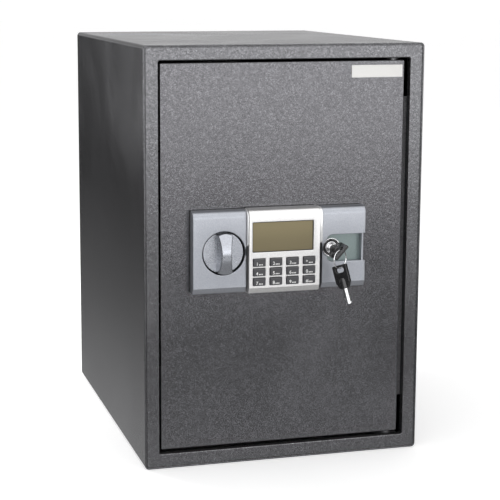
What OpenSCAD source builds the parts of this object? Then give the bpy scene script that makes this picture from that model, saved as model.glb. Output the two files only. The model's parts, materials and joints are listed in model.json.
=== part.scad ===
// Digital safe with keypad, bolt knob and override lock.
// Front faces -Y, +X is to the right, +Z is up. The origin is the centre of the base.

/* [Cabinet] */
// Width of the cabinet
cab_w = 350; // [340:1:380]
// Depth of the cabinet
cab_d = 440; // [400:5:520]
// Height of the cabinet
cab_h = 510; // [500:1:560]
// Thickness of the wrapped sheet
wall_t = 2; // [1.5:0.1:2.5]
// Outer radius of the four long bends
bend_r = 5; // [4:0.5:8]
// Width of the front face all round the door
frame_w = 18; // [17:0.5:19]
// Depth of the return flange behind the front face
return_d = 8; // [6:0.5:8]
// Radius of the anchor holes in the floor and the back
anchor_r = 6; // [5:0.5:7]
// Spacing of the floor anchors across the width
floor_anchor_x = 220; // [160:5:240]
// Spacing of the floor anchors along the depth
floor_anchor_y = 260; // [200:5:300]
// Spacing of the two back anchors
back_anchor_x = 200; // [150:5:240]
// Height of the back anchors
back_anchor_z = 400; // [340:5:440]

/* [Shelf] */
// Height of the shelf's top face
shelf_z = 262; // [240:1:300]
// Depth of the shelf
shelf_d = 345; // [300:5:350]
// How far the front and back lips turn down
shelf_lip = 14; // [8:1:20]

/* [Door] */
// Thickness of the door plate
door_t = 4; // [3:0.5:5]
// How far the door sits back in the frame
door_inset = 6; // [5:0.5:7]
// Gap between door and frame at the bolt side and the top
door_gap = 3; // [2.5:0.1:4]
// Gap at the hinge side, which the swinging edge needs
hinge_gap = 5; // [4.5:0.1:6]
// Distance of the hinge axis from the door's hinge edge
hinge_in = 12; // [12:0.5:14]
// Distance of the hinge axis behind the door's front face
hinge_back = 10; // [9:0.5:10]
// Radius of the hinge pins
pin_r = 4; // [3:0.5:4.5]

/* [Lock case] */
// Width of the sheet cover behind the door
case_w = 264; // [255:1:268]
// Height of the sheet cover
case_h = 230; // [224:1:250]
// Depth of the sheet cover
case_d = 45; // [44:1:50]
// Thickness of the cover's sheet
case_t = 1.2; // [1:0.1:1.6]
// Radius of the locking bolts
bolt_r = 9; // [8:0.5:9.5]
// Distance between the two bolts
bolt_span = 110; // [100:2:116]
// Crank radius that throws the bolts
crank_r = 12; // [11:0.5:12]

/* [Panel] */
// Height of the two side covers
panel_h = 100; // [96:1:104]
// How far the side covers stand off the door
cover_d = 16; // [15:0.5:18]
// How far the keypad housing stands off the door
housing_d = 22; // [20:0.5:24]
// Wall thickness of the moulded covers
skin_t = 2; // [1.6:0.1:2.2]
// Radius of the knob disc
knob_r = 25; // [22:0.5:25.5]
// How deep the knob disc lies in its well
disc_sink = 3.5; // [0.5:0.5:4]
// Height of the grip ridge above the cover at its middle
grip_d = 14; // [10:0.5:16]
// Width of one key cap
key_w = 15; // [13:0.2:15.6]
// Height of one key cap
key_h = 9; // [8:0.2:9.4]
// Distance between key columns
key_px = 20.9; // [20.5:0.1:21]
// Distance between key rows
key_pz = 11.7; // [11.4:0.1:12]

/* [Keys and lock] */
// Radius of the chrome ring round the lock
bezel_r = 11.5; // [10.5:0.1:12]
// Width of a key's moulded head
head_w = 22; // [20:0.5:23]
// Thickness of a key's moulded head
head_t = 4; // [3.6:0.1:4.2]
// Mean radius of the key ring
ring_r = 11; // [10.5:0.1:11.5]
// Turn of the inserted key's head from level, seen from the front
key_turn = 48; // [46:1:52]
// Lean of the spare key as it hangs
spare_lean = 20; // [10:1:24]

/* [Hidden] */
$fn = 64;

// Planes along Y, from the front to the back
front_y = -cab_d / 2;
face_back = front_y + wall_t;
return_back = face_back + return_d;
door_front = front_y + door_inset;
door_back = door_front + door_t;
base_front = door_front - 3;
cover_front = door_front - cover_d;
housing_front = door_front - housing_d;
case_back = door_back + case_d;

// Door outline
open_x = cab_w / 2 - frame_w;
open_z0 = frame_w;
open_z1 = cab_h - frame_w;
door_x0 = -open_x + door_gap;
door_x1 = open_x - hinge_gap;
door_z0 = open_z0 + door_gap + 0.5;
door_z1 = open_z1 - door_gap;
hinge_x = door_x1 - hinge_in;
hinge_y = door_front + hinge_back;
lug_h = 20;
lug_w = 24;
lug_y1 = door_back + 14;
bracket_t = 6;

// Panel layout
mid_z = 264.5;
axis_z = mid_z - 1;
knob_x = -80;
lock_x = 57;
left_x0 = -118;
left_x1 = -52;
house_x0 = -50.5;
house_x1 = 38.5;
right_x0 = 43.5;
right_x1 = 99;
lcd_x = -8;
lcd_z = 282;
lcd_w = 76.6;
lcd_h = 36.6;
key_x0 = -37.9;
key_z0 = 251.5;
key_gap = 0.3;
key_pop = 2;
key_tail = 7;
well_r = knob_r + 1.4;
recess_d = 8.5;
recess_h = 33.4;
recess_x1 = 94;

// Boltwork
bolt_y = door_back + bolt_r + 2;
bolt_tip = door_x0 + 2;
bolt_tail = bolt_tip + 34;
throw = 2 * crank_r * sin(45);
guide_x0 = bolt_tip + 2;
guide_t = 3;
carriage_y0 = bolt_y + bolt_r + 1;
carriage_t = 3;
tab_t = 3;
stud_r = 4;
shaft_r = 5;
crank_pin_r = 3;
arm_y0 = carriage_y0 + carriage_t + 2;
arm_t = 4;
tail_z1 = axis_z + 22.5;
tail_x1 = 32;
ramp_drop = 5;
plunger_x = 12;
plunger_r = 3;
plunger_y = carriage_y0 + carriage_t / 2;
plunger_z0 = tail_z1 + 0.3;
coil_z0 = 302;
coil_z1 = 338;
run_gap = 0.05;

// Lock and keys
plug_r = 6;
barrel_r = 9.4;
plug_front = door_front - 10.5;
plug_back = door_back + 20;
recess_floor = cover_front + recess_d;
bezel_front = recess_floor - 3.5;
tube_r = 3.8;
tube_bore = 2.9;
post_r = 2.8;
key_tip = door_front - 0.5;
head_base = door_front - 19;
head_len = 29;
blade_len = key_tip - head_base;
slot_in = 6;
slot_l = 13;
slot_w = 6.4;
wire_r = 0.8;
ring_lean = 15;
ring_yaw = 30;
slot_off = 3;
slot_y = head_base - head_len + slot_in;

// Case
case_x0 = -146;
case_x1 = case_x0 + case_w;
case_z0 = mid_z - case_h / 2;
case_z1 = mid_z + case_h / 2;
flange_w = 12;
cover_screw_x = [-120, 95];
panel_screws = [[-105, 235], [-105, 293], [84, 232], [84, 297]];
batt_x0 = 40;
batt_x1 = 110;
batt_z0 = 290;
batt_z1 = 358;
lid_over = 2;
lid_t = 1.8;
button_x = 5;
button_z = 222;

// Extrusions of a flat outline along each axis, from one plane for a length
module along_x(start, length) {
    translate([start, 0, 0])
        rotate([90, 0, 90])
            linear_extrude(length)
                children();
}

module along_y(start, length) {
    translate([0, start + length, 0])
        rotate([90, 0, 0])
            linear_extrude(length)
                children();
}

module along_z(start, length) {
    translate([0, 0, start])
        linear_extrude(length)
            children();
}

// Rectangle between two corners, with round corners of radius r
module pane(x0, y0, x1, y1, r = 0) {
    if (r > 0) {
        translate([x0 + r, y0])
            square([x1 - x0 - 2 * r, y1 - y0]);
        translate([x0, y0 + r])
            square([x1 - x0, y1 - y0 - 2 * r]);
        for (x = [x0 + r, x1 - r], y = [y0 + r, y1 - r])
            translate([x, y])
                circle(r);
    } else {
        translate([x0, y0])
            square([x1 - x0, y1 - y0]);
    }
}

// What is left of a square corner outside an arc of radius r
module corner_waste(r) {
    difference() {
        square([r + 1, r + 1]);
        circle(r);
    }
}

// Side view of a moulded cover: flat front with a bull nose above and below
module nose_outline(y_front, y_back, z0, z1, r_top, r_low) {
    difference() {
        pane(y_front, z0, y_back, z1);
        translate([y_front + r_top, z1 - r_top])
            mirror([1, 0])
                corner_waste(r_top);
        translate([y_front + r_low, z0 + r_low])
            rotate(180)
                corner_waste(r_low);
    }
}

// Round bar along Y
module bar_y(x, z, y0, y1, r) {
    along_y(y0, y1 - y0)
        translate([x, z])
            circle(r);
}

// Round bar along X
module bar_x(y, z, x0, x1, r) {
    along_x(x0, x1 - x0)
        translate([y, z])
            circle(r);
}

// Round bar along Z
module bar_z(x, y, z0, z1, r) {
    along_z(z0, z1 - z0)
        translate([x, y])
            circle(r);
}

function bolt_heights() = [axis_z - bolt_span / 2, axis_z + bolt_span / 2];
function case_screw_heights() = [case_z0 - flange_w / 2, case_z1 + flange_w / 2];

// ---- Cabinet ----

module floor_anchors(z0, z1, r) {
    for (sx = [-1, 1], sy = [-1, 1])
        bar_z(sx * floor_anchor_x / 2, sy * floor_anchor_y / 2, z0, z1, r);
}

module cabinet_shell() {
    color("#5b5c60")
    difference() {
        along_y(front_y, cab_d)
            pane(-cab_w / 2, 0, cab_w / 2, cab_h, bend_r);
        along_y(front_y - 1, cab_d + 2)
            pane(-cab_w / 2 + wall_t, wall_t, cab_w / 2 - wall_t, cab_h - wall_t, bend_r - wall_t);
        floor_anchors(-1, wall_t + 1, anchor_r);
    }
}

// Face plate set inside the wrapped sheet, with a flange turned back round the opening
module front_frame() {
    color("#6a6b6e") {
        along_y(front_y, wall_t)
            difference() {
                pane(-cab_w / 2 + wall_t, wall_t, cab_w / 2 - wall_t, cab_h - wall_t, bend_r - wall_t);
                pane(-open_x, open_z0, open_x, open_z1, 2);
            }
        along_y(face_back, return_d)
            difference() {
                pane(-open_x - wall_t, open_z0 - wall_t, open_x + wall_t, open_z1 + wall_t, 4);
                pane(-open_x, open_z0, open_x, open_z1, 2);
            }
    }
}

module back_panel() {
    color("#55565a")
    difference() {
        along_y(cab_d / 2 - wall_t, wall_t)
            pane(-cab_w / 2 + wall_t, wall_t, cab_w / 2 - wall_t, cab_h - wall_t, bend_r - wall_t);
        for (side = [-1, 1])
            bar_y(side * back_anchor_x / 2, back_anchor_z, cab_d / 2 - wall_t - 1, cab_d / 2 + 1, anchor_r);
    }
}

module floor_mat() {
    color("#26262a")
    difference() {
        along_z(wall_t, 3)
            pane(-cab_w / 2 + 5, return_back + 26, cab_w / 2 - 5, cab_d / 2 - 5, 3);
        floor_anchors(wall_t - 1, wall_t + 4, anchor_r + 8);
    }
}

module shelf_rails() {
    rail_l = shelf_d - 10;
    color("#67686c")
    for (side = [0, 1])
        mirror([side, 0, 0])
            translate([0, cab_d / 2 - 15 - rail_l, 0])
                rotate([90, 0, 0])
                    translate([0, 0, -rail_l])
                        linear_extrude(rail_l) {
                            pane(-cab_w / 2 + wall_t, shelf_z - 22, -cab_w / 2 + 2 * wall_t, shelf_z - 1.5);
                            pane(-cab_w / 2 + wall_t, shelf_z - 3.5, -cab_w / 2 + 18, shelf_z - 1.5);
                        }
}

module shelf() {
    y1 = cab_d / 2 - 8;
    y0 = y1 - shelf_d;
    x1 = cab_w / 2 - 5;
    color("#707175")
    union() {
        along_z(shelf_z - 1.5, 1.5)
            pane(-x1, y0, x1, y1, 2);
        for (y = [y0, y1 - 1.5])
            translate([-x1 + 17, y, shelf_z - shelf_lip])
                cube([2 * x1 - 34, 1.5, shelf_lip]);
    }
}

module shelf_mat() {
    y1 = cab_d / 2 - 10;
    color("#26262a")
    along_z(shelf_z, 2)
        pane(-cab_w / 2 + 7, y1 - shelf_d + 4, cab_w / 2 - 7, y1, 3);
}

// Upper bracket; the lower one is its mirror image in the frame's opening
module hinge_bracket() {
    wing = 13;
    difference() {
        union() {
            along_z(open_z1, bracket_t)
                pane(hinge_x - wing, return_back, hinge_x + wing, return_back + 24, 2);
            along_z(open_z1 + bracket_t, frame_w - wall_t - bracket_t)
                pane(hinge_x - wing, return_back + 21, hinge_x + wing, return_back + 24);
        }
        bar_z(hinge_x, hinge_y, open_z1 - 1, open_z1 + bracket_t + 1, pin_r + 1.5);
    }
}

module mirrored_in_height() {
    children();
    translate([0, 0, cab_h])
        mirror([0, 0, 1])
            children();
}

module hinge_brackets() {
    color("#77787c")
    mirrored_in_height()
        hinge_bracket();
}

// Flanged bush: the flange fills the gap between bracket and door lug
module hinge_bush(flange_t) {
    difference() {
        union() {
            bar_z(hinge_x, hinge_y, open_z1, open_z1 + bracket_t, pin_r + 1.5);
            bar_z(hinge_x, hinge_y, open_z1 - flange_t, open_z1, pin_r + 3);
        }
        bar_z(hinge_x, hinge_y, open_z1 - flange_t - 1, open_z1 + bracket_t + 1, pin_r + run_gap);
    }
}

module hinge_bushes() {
    color("#b08d4a") {
        hinge_bush(door_gap - 0.5);
        translate([0, 0, cab_h])
            mirror([0, 0, 1])
                hinge_bush(door_z0 - open_z0);
    }
}

// ---- Door ----

module door_plate() {
    color("#58585c")
    difference() {
        along_y(door_front, door_t)
            pane(door_x0, door_z0, door_x1, door_z1, 2);
        bar_y(knob_x, axis_z, door_front - 1, door_back + 1, shaft_r + 3);
        bar_y(lock_x, axis_z, door_front - 1, door_back + 1, barrel_r);
        bar_y(-6, 292, door_front - 1, door_back + 1, 7);
        for (p = panel_screws)
            bar_y(p[0], p[1], door_front - 1, door_back + 1, 1.8);
        for (x = cover_screw_x, z = case_screw_heights())
            bar_y(x, z, door_back - 2, door_back + 1, 2);
    }
}

module hinge_lugs() {
    color("#6e6f73")
    for (z = [door_z0, door_z1 - lug_h])
        difference() {
            along_z(z, lug_h)
                pane(door_x1 - lug_w, door_back, door_x1, lug_y1, 1.5);
            bar_z(hinge_x, hinge_y, z - 1, z + lug_h + 1, pin_r);
        }
}

module hinge_pins() {
    color("#c8c9cc") {
        bar_z(hinge_x, hinge_y, door_z1 - lug_h, open_z1 + bracket_t, pin_r);
        bar_z(hinge_x, hinge_y, open_z0 - bracket_t, door_z0 + lug_h, pin_r);
    }
}

// Fixed bar that hooks behind the frame on the hinge side
module dead_bar() {
    color("#6e6f73")
    along_z(door_z0 + 45, door_z1 - door_z0 - 90) {
        pane(door_x1 - 16, door_back, door_x1 - 2, door_back + 3);
        pane(door_x1 - 5, door_back + 1.5, door_x1 + 13, door_back + 4.5);
    }
}

module bolt_guide() {
    color("#6e6f73")
    difference() {
        along_z(axis_z - bolt_span / 2 - 20, bolt_span + 40) {
            pane(guide_x0, door_back, guide_x0 + guide_t, bolt_y + bolt_r + 3);
            pane(guide_x0 - 3, door_back, guide_x0 + guide_t, door_back + 3);
        }
        for (z = bolt_heights())
            bar_x(bolt_y, z, guide_x0 - 4, guide_x0 + guide_t + 1, bolt_r + run_gap);
    }
}

module lid_rails() {
    travel = 70;
    along_x(batt_x0 - lid_over - travel, batt_x1 - batt_x0 + 2 * lid_over + travel)
        for (side = [0, 1])
            translate([0, side * (batt_z0 + batt_z1)])
                mirror([0, side]) {
                    pane(case_back, batt_z0 - lid_over - 4, case_back + lid_t + 0.6, batt_z0 - lid_over - 0.4);
                    pane(case_back + lid_t + 0.3, batt_z0 - lid_over - 4, case_back + lid_t + 1.5, batt_z0 - 1);
                }
}

module back_cover() {
    color("#4d4e52")
    difference() {
        union() {
            translate([case_x0, door_back, case_z0])
                cube([case_w, case_d, case_h]);
            translate([case_x0, door_back, case_z0 - flange_w])
                cube([case_w, case_t, case_h + 2 * flange_w]);
            lid_rails();
        }
        translate([case_x0 + case_t, door_back - 1, case_z0 + case_t])
            cube([case_w - 2 * case_t, case_d + 1 - case_t, case_h - 2 * case_t]);
        for (z = bolt_heights())
            bar_x(bolt_y, z, case_x0 - 1, case_x0 + case_t + 1, bolt_r + 1);
        for (x = cover_screw_x, z = case_screw_heights())
            bar_y(x, z, door_back - 1, door_back + case_t + 1, 2);
        translate([batt_x0, case_back - case_t - 1, batt_z0])
            cube([batt_x1 - batt_x0, case_t + 2, batt_z1 - batt_z0]);
        bar_y(button_x, button_z, case_back - case_t - 1, case_back + 1, 4.4);
    }
}

// Pan-head screws, all of one kind: four hold the cover, four hold the front panel
module screws() {
    color("#b9babd") {
        for (x = cover_screw_x, z = case_screw_heights()) {
            bar_y(x, z, door_back - 2, door_back + case_t, 2);
            bar_y(x, z, door_back + case_t, door_back + case_t + 2.4, 3.6);
        }
        for (p = panel_screws) {
            bar_y(p[0], p[1], base_front + 0.5, door_back, 1.8);
            bar_y(p[0], p[1], door_back, door_back + 2.4, 3.6);
        }
    }
}

module battery_box() {
    color("#1f1f22")
    difference() {
        translate([batt_x0 + 0.5, case_back - 26, batt_z0 + 0.5])
            cube([batt_x1 - batt_x0 - 1, 26, batt_z1 - batt_z0 - 1]);
        translate([batt_x0 + 2, case_back - 24, batt_z0 + 2])
            cube([batt_x1 - batt_x0 - 4, 30, batt_z1 - batt_z0 - 4]);
    }
}

module batteries() {
    cell_r = 7.1;
    cell_l = 50;
    x0 = (batt_x0 + batt_x1 - cell_l) / 2;
    color("#3b6e4f")
    for (i = [0 : 3]) {
        z = batt_z0 + 10.5 + i * 15.6;
        bar_x(case_back - 16, z, x0, x0 + cell_l - 1.2, cell_r);
        bar_x(case_back - 16, z, x0 + cell_l - 1.2, x0 + cell_l, 2.7);
    }
}

module battery_lid() {
    color("#26262a")
    union() {
        along_y(case_back + 0.1, lid_t)
            pane(batt_x0 - lid_over, batt_z0 - lid_over, batt_x1 + lid_over, batt_z1 + lid_over, 1);
        for (i = [0 : 4])
            translate([batt_x1 - 18 + 3 * i, case_back + lid_t, batt_z0 + 20])
                cube([1.2, 1, batt_z1 - batt_z0 - 40]);
    }
}

module solenoid_body() {
    color("#8f9094")
    difference() {
        union() {
            translate([plunger_x - 13, plunger_y - 10, coil_z0])
                cube([26, 20, coil_z1 - coil_z0]);
            translate([plunger_x - 13, door_back, coil_z1 - 12])
                cube([26, plunger_y - 10 - door_back, 2]);
        }
        bar_z(plunger_x, plunger_y, coil_z0 - 1, coil_z1 - 4, plunger_r + run_gap);
    }
}

module circuit_board() {
    x0 = -42;
    z0 = 178;
    w = 56;
    h = 66;
    board_y = door_back + 26;
    color("#2d6b45")
    union() {
        along_y(board_y, 1.6)
            pane(x0, z0, x0 + w, z0 + h, 2);
        for (x = [x0 + 4, x0 + w - 4], z = [z0 + 4, z0 + h - 4])
            bar_y(x, z, door_back, board_y + 0.5, 2.5);
        translate([x0 + 12, board_y + 1.6, z0 + 14])
            cube([14, 2.5, 14]);
        translate([x0 + 10, board_y + 1.6, z0 + 52])
            cube([22, 6, 6]);
        translate([button_x - 4, board_y + 1.6, button_z - 4])
            cube([8, 7.3, 8]);
    }
}

module reset_button() {
    color("#b3262b") {
        bar_y(button_x, button_z, case_back - 8, case_back + 3, 4);
        bar_y(button_x, button_z, case_back - case_t - 1.9, case_back - case_t - 0.3, 6);
    }
}

module knob_bush() {
    color("#b08d4a")
    difference() {
        union() {
            bar_y(knob_x, axis_z, door_front, door_back, shaft_r + 3);
            bar_y(knob_x, axis_z, door_back, door_back + 3, shaft_r + 6);
        }
        bar_y(knob_x, axis_z, door_front - 1, door_back + 4, shaft_r + run_gap);
    }
}

// ---- Front panel ----

module panel_base() {
    z0 = mid_z - panel_h / 2;
    color("#1c1c1f")
    difference() {
        along_y(base_front, door_front - base_front)
            pane(left_x0, z0, right_x1, z0 + panel_h, 1.5);
        bar_y(knob_x, axis_z, base_front - 1, door_front + 1, shaft_r + 1);
        bar_y(lock_x, axis_z, base_front - 1, door_front + 1, barrel_r);
        bar_y(-6, 292, base_front - 1, door_front + 1, 7);
        for (p = panel_screws)
            bar_y(p[0], p[1], base_front + 0.5, door_front + 1, 1.8);
    }
}

// Hollow moulded cover between two X planes
module cover_skin(x0, x1, y_front, z0, z1, r_top, r_low) {
    difference() {
        along_x(x0, x1 - x0)
            nose_outline(y_front, base_front, z0, z1, r_top, r_low);
        along_x(x0 + skin_t, x1 - x0 - 2 * skin_t)
            nose_outline(y_front + skin_t, base_front + 1, z0 + skin_t, z1 - skin_t,
                         r_top - skin_t, r_low - skin_t);
    }
}

module panel_left() {
    color("#8d929b")
    difference() {
        union() {
            cover_skin(left_x0, left_x1, cover_front, mid_z - panel_h / 2, mid_z + panel_h / 2, 9, 4);
            bar_y(knob_x, axis_z, cover_front, base_front, well_r + 1.5);
        }
        bar_y(knob_x, axis_z, cover_front - 1, base_front + 1, well_r);
    }
}

// Outline of the recess round the override lock
module recess_outline(grow) {
    translate([lock_x + 0.5, axis_z])
        circle(bezel_r + 1.5 + grow);
    for (side = [-1, 1])
        translate([lock_x + 1, axis_z + side * (recess_h / 2 - 11)])
            circle(11 + grow);
    pane(lock_x - 10 - grow, axis_z - recess_h / 2 + 11, lock_x + 2, axis_z + recess_h / 2 - 11);
    pane(lock_x + 1, axis_z - recess_h / 2 - grow, recess_x1 + grow, axis_z + recess_h / 2 + grow);
}

module panel_right() {
    floor_t = 1.5;
    color("#8d929b")
    difference() {
        union() {
            cover_skin(right_x0, right_x1, cover_front, mid_z - panel_h / 2, mid_z + panel_h / 2, 9, 4);
            intersection() {
                along_y(cover_front, recess_d + floor_t)
                    recess_outline(1.5);
                translate([right_x0, cover_front, mid_z - panel_h / 2])
                    cube([right_x1 - right_x0, cover_d, panel_h]);
            }
        }
        along_y(cover_front - 1, recess_d + 1)
            recess_outline(0);
        translate([recess_x1 + 2.5, cover_front - 1, axis_z - recess_h / 2])
            cube([10, cover_d - 1, recess_h]);
        bar_y(lock_x, axis_z, cover_front - 1, base_front + 1, barrel_r + 0.1);
    }
    color("#8d929b")
    translate([recess_x1 + 1, cover_front, axis_z - recess_h / 2])
        cube([1.5, base_front - cover_front, recess_h]);
}

function key_place(col, row) = [key_x0 + col * key_px, key_z0 - row * key_pz];

module keypad_housing() {
    z0 = mid_z - panel_h / 2 - 1;
    color("#c9cbd0")
    difference() {
        cover_skin(house_x0, house_x1, housing_front, z0, z0 + panel_h + 2, 9, 5);
        along_y(housing_front - 1, skin_t + 2)
            pane(lcd_x - lcd_w / 2, lcd_z - lcd_h / 2, lcd_x + lcd_w / 2, lcd_z + lcd_h / 2, 1.2);
        for (col = [0 : 3], row = [0 : 2])
            along_y(housing_front - 1, skin_t + 2)
                translate(key_place(col, row))
                    pane(-key_w / 2 - key_gap, -key_h / 2 - key_gap, key_w / 2 + key_gap, key_h / 2 + key_gap, 0.9);
    }
}

module trim_strips() {
    z0 = 271;
    z1 = mid_z + panel_h / 2;
    color("#dfe1e4")
    for (span = [[left_x1 + 0.1, house_x0 - 0.1], [house_x1 + 0.1, right_x0 - 1.2]])
        along_x(span[0], span[1] - span[0])
            nose_outline(housing_front + 1.5, base_front, z0, z1, 9, 4);
}

module lcd_window() {
    over = 1.6;
    color("#7f7457")
    along_y(housing_front + skin_t, 1.6)
        pane(lcd_x - lcd_w / 2 - over, lcd_z - lcd_h / 2 - over, lcd_x + lcd_w / 2 + over, lcd_z + lcd_h / 2 + over, 1);
}

module keypad_board() {
    color("#2d6b45")
    union() {
        along_y(housing_front + 10, 1.6)
            pane(house_x0 + 3, mid_z - panel_h / 2 + 3, house_x1 - 3, mid_z + panel_h / 2 - 3, 1);
        for (col = [0 : 3], row = [0 : 2])
            bar_y(key_place(col, row)[0], key_place(col, row)[1], housing_front + 8.6, housing_front + 10, 3);
        translate([lcd_x - lcd_w / 2, housing_front + skin_t + 2, lcd_z - lcd_h / 2])
            cube([lcd_w, 6, lcd_h]);
    }
}

// Key cap with a retaining flange behind the housing's face
module key_cap(col, row) {
    flange = 1;
    color("#2e2f33")
    translate([key_place(col, row)[0], 0, key_place(col, row)[1]])
    union() {
        along_y(housing_front - key_pop, key_tail + key_pop)
            pane(-key_w / 2, -key_h / 2, key_w / 2, key_h / 2, 0.8);
        along_y(housing_front + skin_t + 0.3, 1.2)
            pane(-key_w / 2 - flange, -key_h / 2 - flange, key_w / 2 + flange, key_h / 2 + flange, 0.8);
    }
}

module label_plate() {
    color("#d8d8d8")
    along_y(door_front - 0.8, 0.8)
        pane(door_x1 - 68.5, door_z1 - 20.5, door_x1 - 3, door_z1 - 5.5, 1);
}

// ---- Override lock ----

module lock_cylinder() {
    color("#d4d6d9")
    difference() {
        union() {
            bar_y(lock_x, axis_z, bezel_front, recess_floor, bezel_r);
            bar_y(lock_x, axis_z, recess_floor, plug_back, barrel_r);
        }
        bar_y(lock_x, axis_z, bezel_front - 1, plug_back + 1, plug_r + run_gap);
        difference() {
            bar_y(lock_x, axis_z, bezel_front - 1, bezel_front + 1.2, bezel_r - 1.3);
            bar_y(lock_x, axis_z, bezel_front - 2, bezel_front + 2, plug_r + 1);
        }
    }
}

module lock_nut() {
    color("#a5a6aa")
    difference() {
        along_y(door_back, 6)
            translate([lock_x, axis_z])
                circle(14, $fn = 6);
        bar_y(lock_x, axis_z, door_back - 1, door_back + 7, barrel_r);
    }
}

module lock_plug() {
    keyway_floor = door_front + 1.5;
    color("#e0e2e4")
    difference() {
        union() {
            bar_y(lock_x, axis_z, plug_front, plug_back, plug_r);
            bar_y(lock_x, axis_z, plug_back, plug_back + 4, 3);
        }
        difference() {
            bar_y(lock_x, axis_z, plug_front - 1, keyway_floor, tube_r + 0.1);
            bar_y(lock_x, axis_z, plug_front - 2, keyway_floor + 1, post_r);
        }
        translate([lock_x, plug_front, axis_z])
            rotate([0, -key_turn, 0])
                for (side = [-1, 1])
                    translate([side * 4, 0, 0])
                        cube([2.4, 2 * (keyway_floor - plug_front), 2], center = true);
    }
}

// Cam on the plug's tail, pointing down while the key stands as inserted
module lock_cam() {
    color("#a5a6aa")
    difference() {
        along_y(plug_back, 3) {
            translate([lock_x, axis_z])
                circle(8);
            pane(lock_x - 4.5, axis_z - 36, lock_x + 4.5, axis_z, 3);
        }
        bar_y(lock_x, axis_z, plug_back - 1, plug_back + 4, 3);
    }
}

// A tubular key hanging by the middle of its slot, shaft down
head_top = slot_in;
head_low = head_top - head_len;

module tube_blade() {
    difference() {
        union() {
            bar_z(0, 0, head_low - blade_len, head_low + 10, tube_r);
            translate([0, 0, head_low - blade_len + 1])
                for (side = [-1, 1])
                    translate([side * (tube_r + 0.3), 0, 0.6])
                        cube([1.6, 1.6, 1.6], center = true);
        }
        bar_z(0, 0, head_low - blade_len - 1, head_low - 3, tube_bore);
        translate([-0.8, -tube_r - 1, head_low - blade_len - 1])
            cube([1.6, 2 * tube_r + 2, 9]);
    }
}

module key_grip() {
    shoulder = 7;
    difference() {
        union() {
            rotate([90, 0, 0])
                translate([0, 0, -head_t / 2])
                    linear_extrude(head_t) {
                        pane(-head_w / 2, head_low + shoulder, head_w / 2, head_top, 1.5);
                        polygon([
                            [-6, head_low], [6, head_low],
                            [head_w / 2, head_low + shoulder + 1.5],
                            [-head_w / 2, head_low + shoulder + 1.5]
                        ]);
                    }
            bar_z(0, 0, head_low, head_low + 13, tube_r + 1.4);
        }
        bar_z(0, 0, head_low - 1, head_low + 10, tube_r);
        rotate([90, 0, 0])
            translate([0, 0, -head_t])
                linear_extrude(2 * head_t)
                    pane(-slot_l / 2, -slot_w / 2, slot_l / 2, slot_w / 2, slot_w / 2 - 0.01);
    }
}

// Places a hanging key in the lock: shaft level, slot near the outer end
module in_lock() {
    translate([lock_x, slot_y, axis_z])
        rotate([0, -key_turn, 0])
            rotate([90, 0, 0])
                children();
}

// Point where the ring passes through the inserted key's slot, and the ring's centre and lowest point
thread = [lock_x + slot_off * cos(key_turn), slot_y, axis_z + slot_off * sin(key_turn)];
ring_mid = thread - ring_r * [
    sin(ring_lean) * cos(ring_yaw), sin(ring_lean) * sin(ring_yaw), cos(ring_lean)
];
ring_low = ring_mid - [0, 0, ring_r];

module on_ring() {
    translate(ring_low)
        rotate([0, 0, ring_yaw - 90])
            rotate([0, -spare_lean, 0])
                translate([0, 0, wire_r + 0.2 - slot_w / 2])
                    children();
}

module key_shaft() {
    color("#c8c9cc")
    in_lock()
        tube_blade();
}

module key_head() {
    color("#1b1b1d")
    in_lock()
        key_grip();
}

module key_ring() {
    color("#cfd0d3")
    translate(ring_mid)
        rotate([0, 0, ring_yaw])
            rotate([90, 0, 0])
                rotate_extrude()
                    translate([ring_r, 0])
                        circle(wire_r);
}

module spare_shaft() {
    color("#c8c9cc")
    on_ring()
        tube_blade();
}

module spare_head() {
    color("#1b1b1d")
    on_ring()
        key_grip();
}

// ---- Knob and boltwork ----

module knob() {
    disc_back = base_front - 3;
    grip_front = cover_front - grip_d;
    waist = 7;
    side_r = 90;
    crown_r = 45;
    color("#858a93")
    difference() {
        union() {
            bar_y(knob_x, axis_z, cover_front + disc_sink, disc_back, knob_r);
            intersection() {
                along_y(grip_front, grip_d + disc_sink + 0.5)
                    translate([knob_x, axis_z])
                        difference() {
                            circle(knob_r - 0.4);
                            for (side = [-1, 1])
                                translate([side * (side_r + waist), 0])
                                    circle(side_r, $fn = 128);
                        }
                bar_x(grip_front + crown_r, axis_z, knob_x - knob_r, knob_x + knob_r, crown_r);
            }
        }
        bar_y(knob_x, axis_z, disc_back - 6, disc_back + 1, shaft_r);
    }
}

module knob_shaft() {
    color("#b9babd")
    bar_y(knob_x, axis_z, base_front - 9, arm_y0 + arm_t + 1, shaft_r);
}

module crank_arm() {
    reach = throw / 2;
    color("#8f9094")
    difference() {
        union() {
            bar_y(knob_x, axis_z, arm_y0, arm_y0 + arm_t, shaft_r + 4);
            along_y(arm_y0, arm_t)
                translate([knob_x, axis_z])
                    rotate(45)
                        pane(0, -5, crank_r, 5);
            bar_y(knob_x + reach, axis_z + reach, arm_y0, arm_y0 + arm_t, 5);
            bar_y(knob_x + reach, axis_z + reach, carriage_y0 - 1, arm_y0, crank_pin_r);
        }
        bar_y(knob_x, axis_z, arm_y0 - 1, arm_y0 + arm_t + 1, shaft_r);
    }
}

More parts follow.
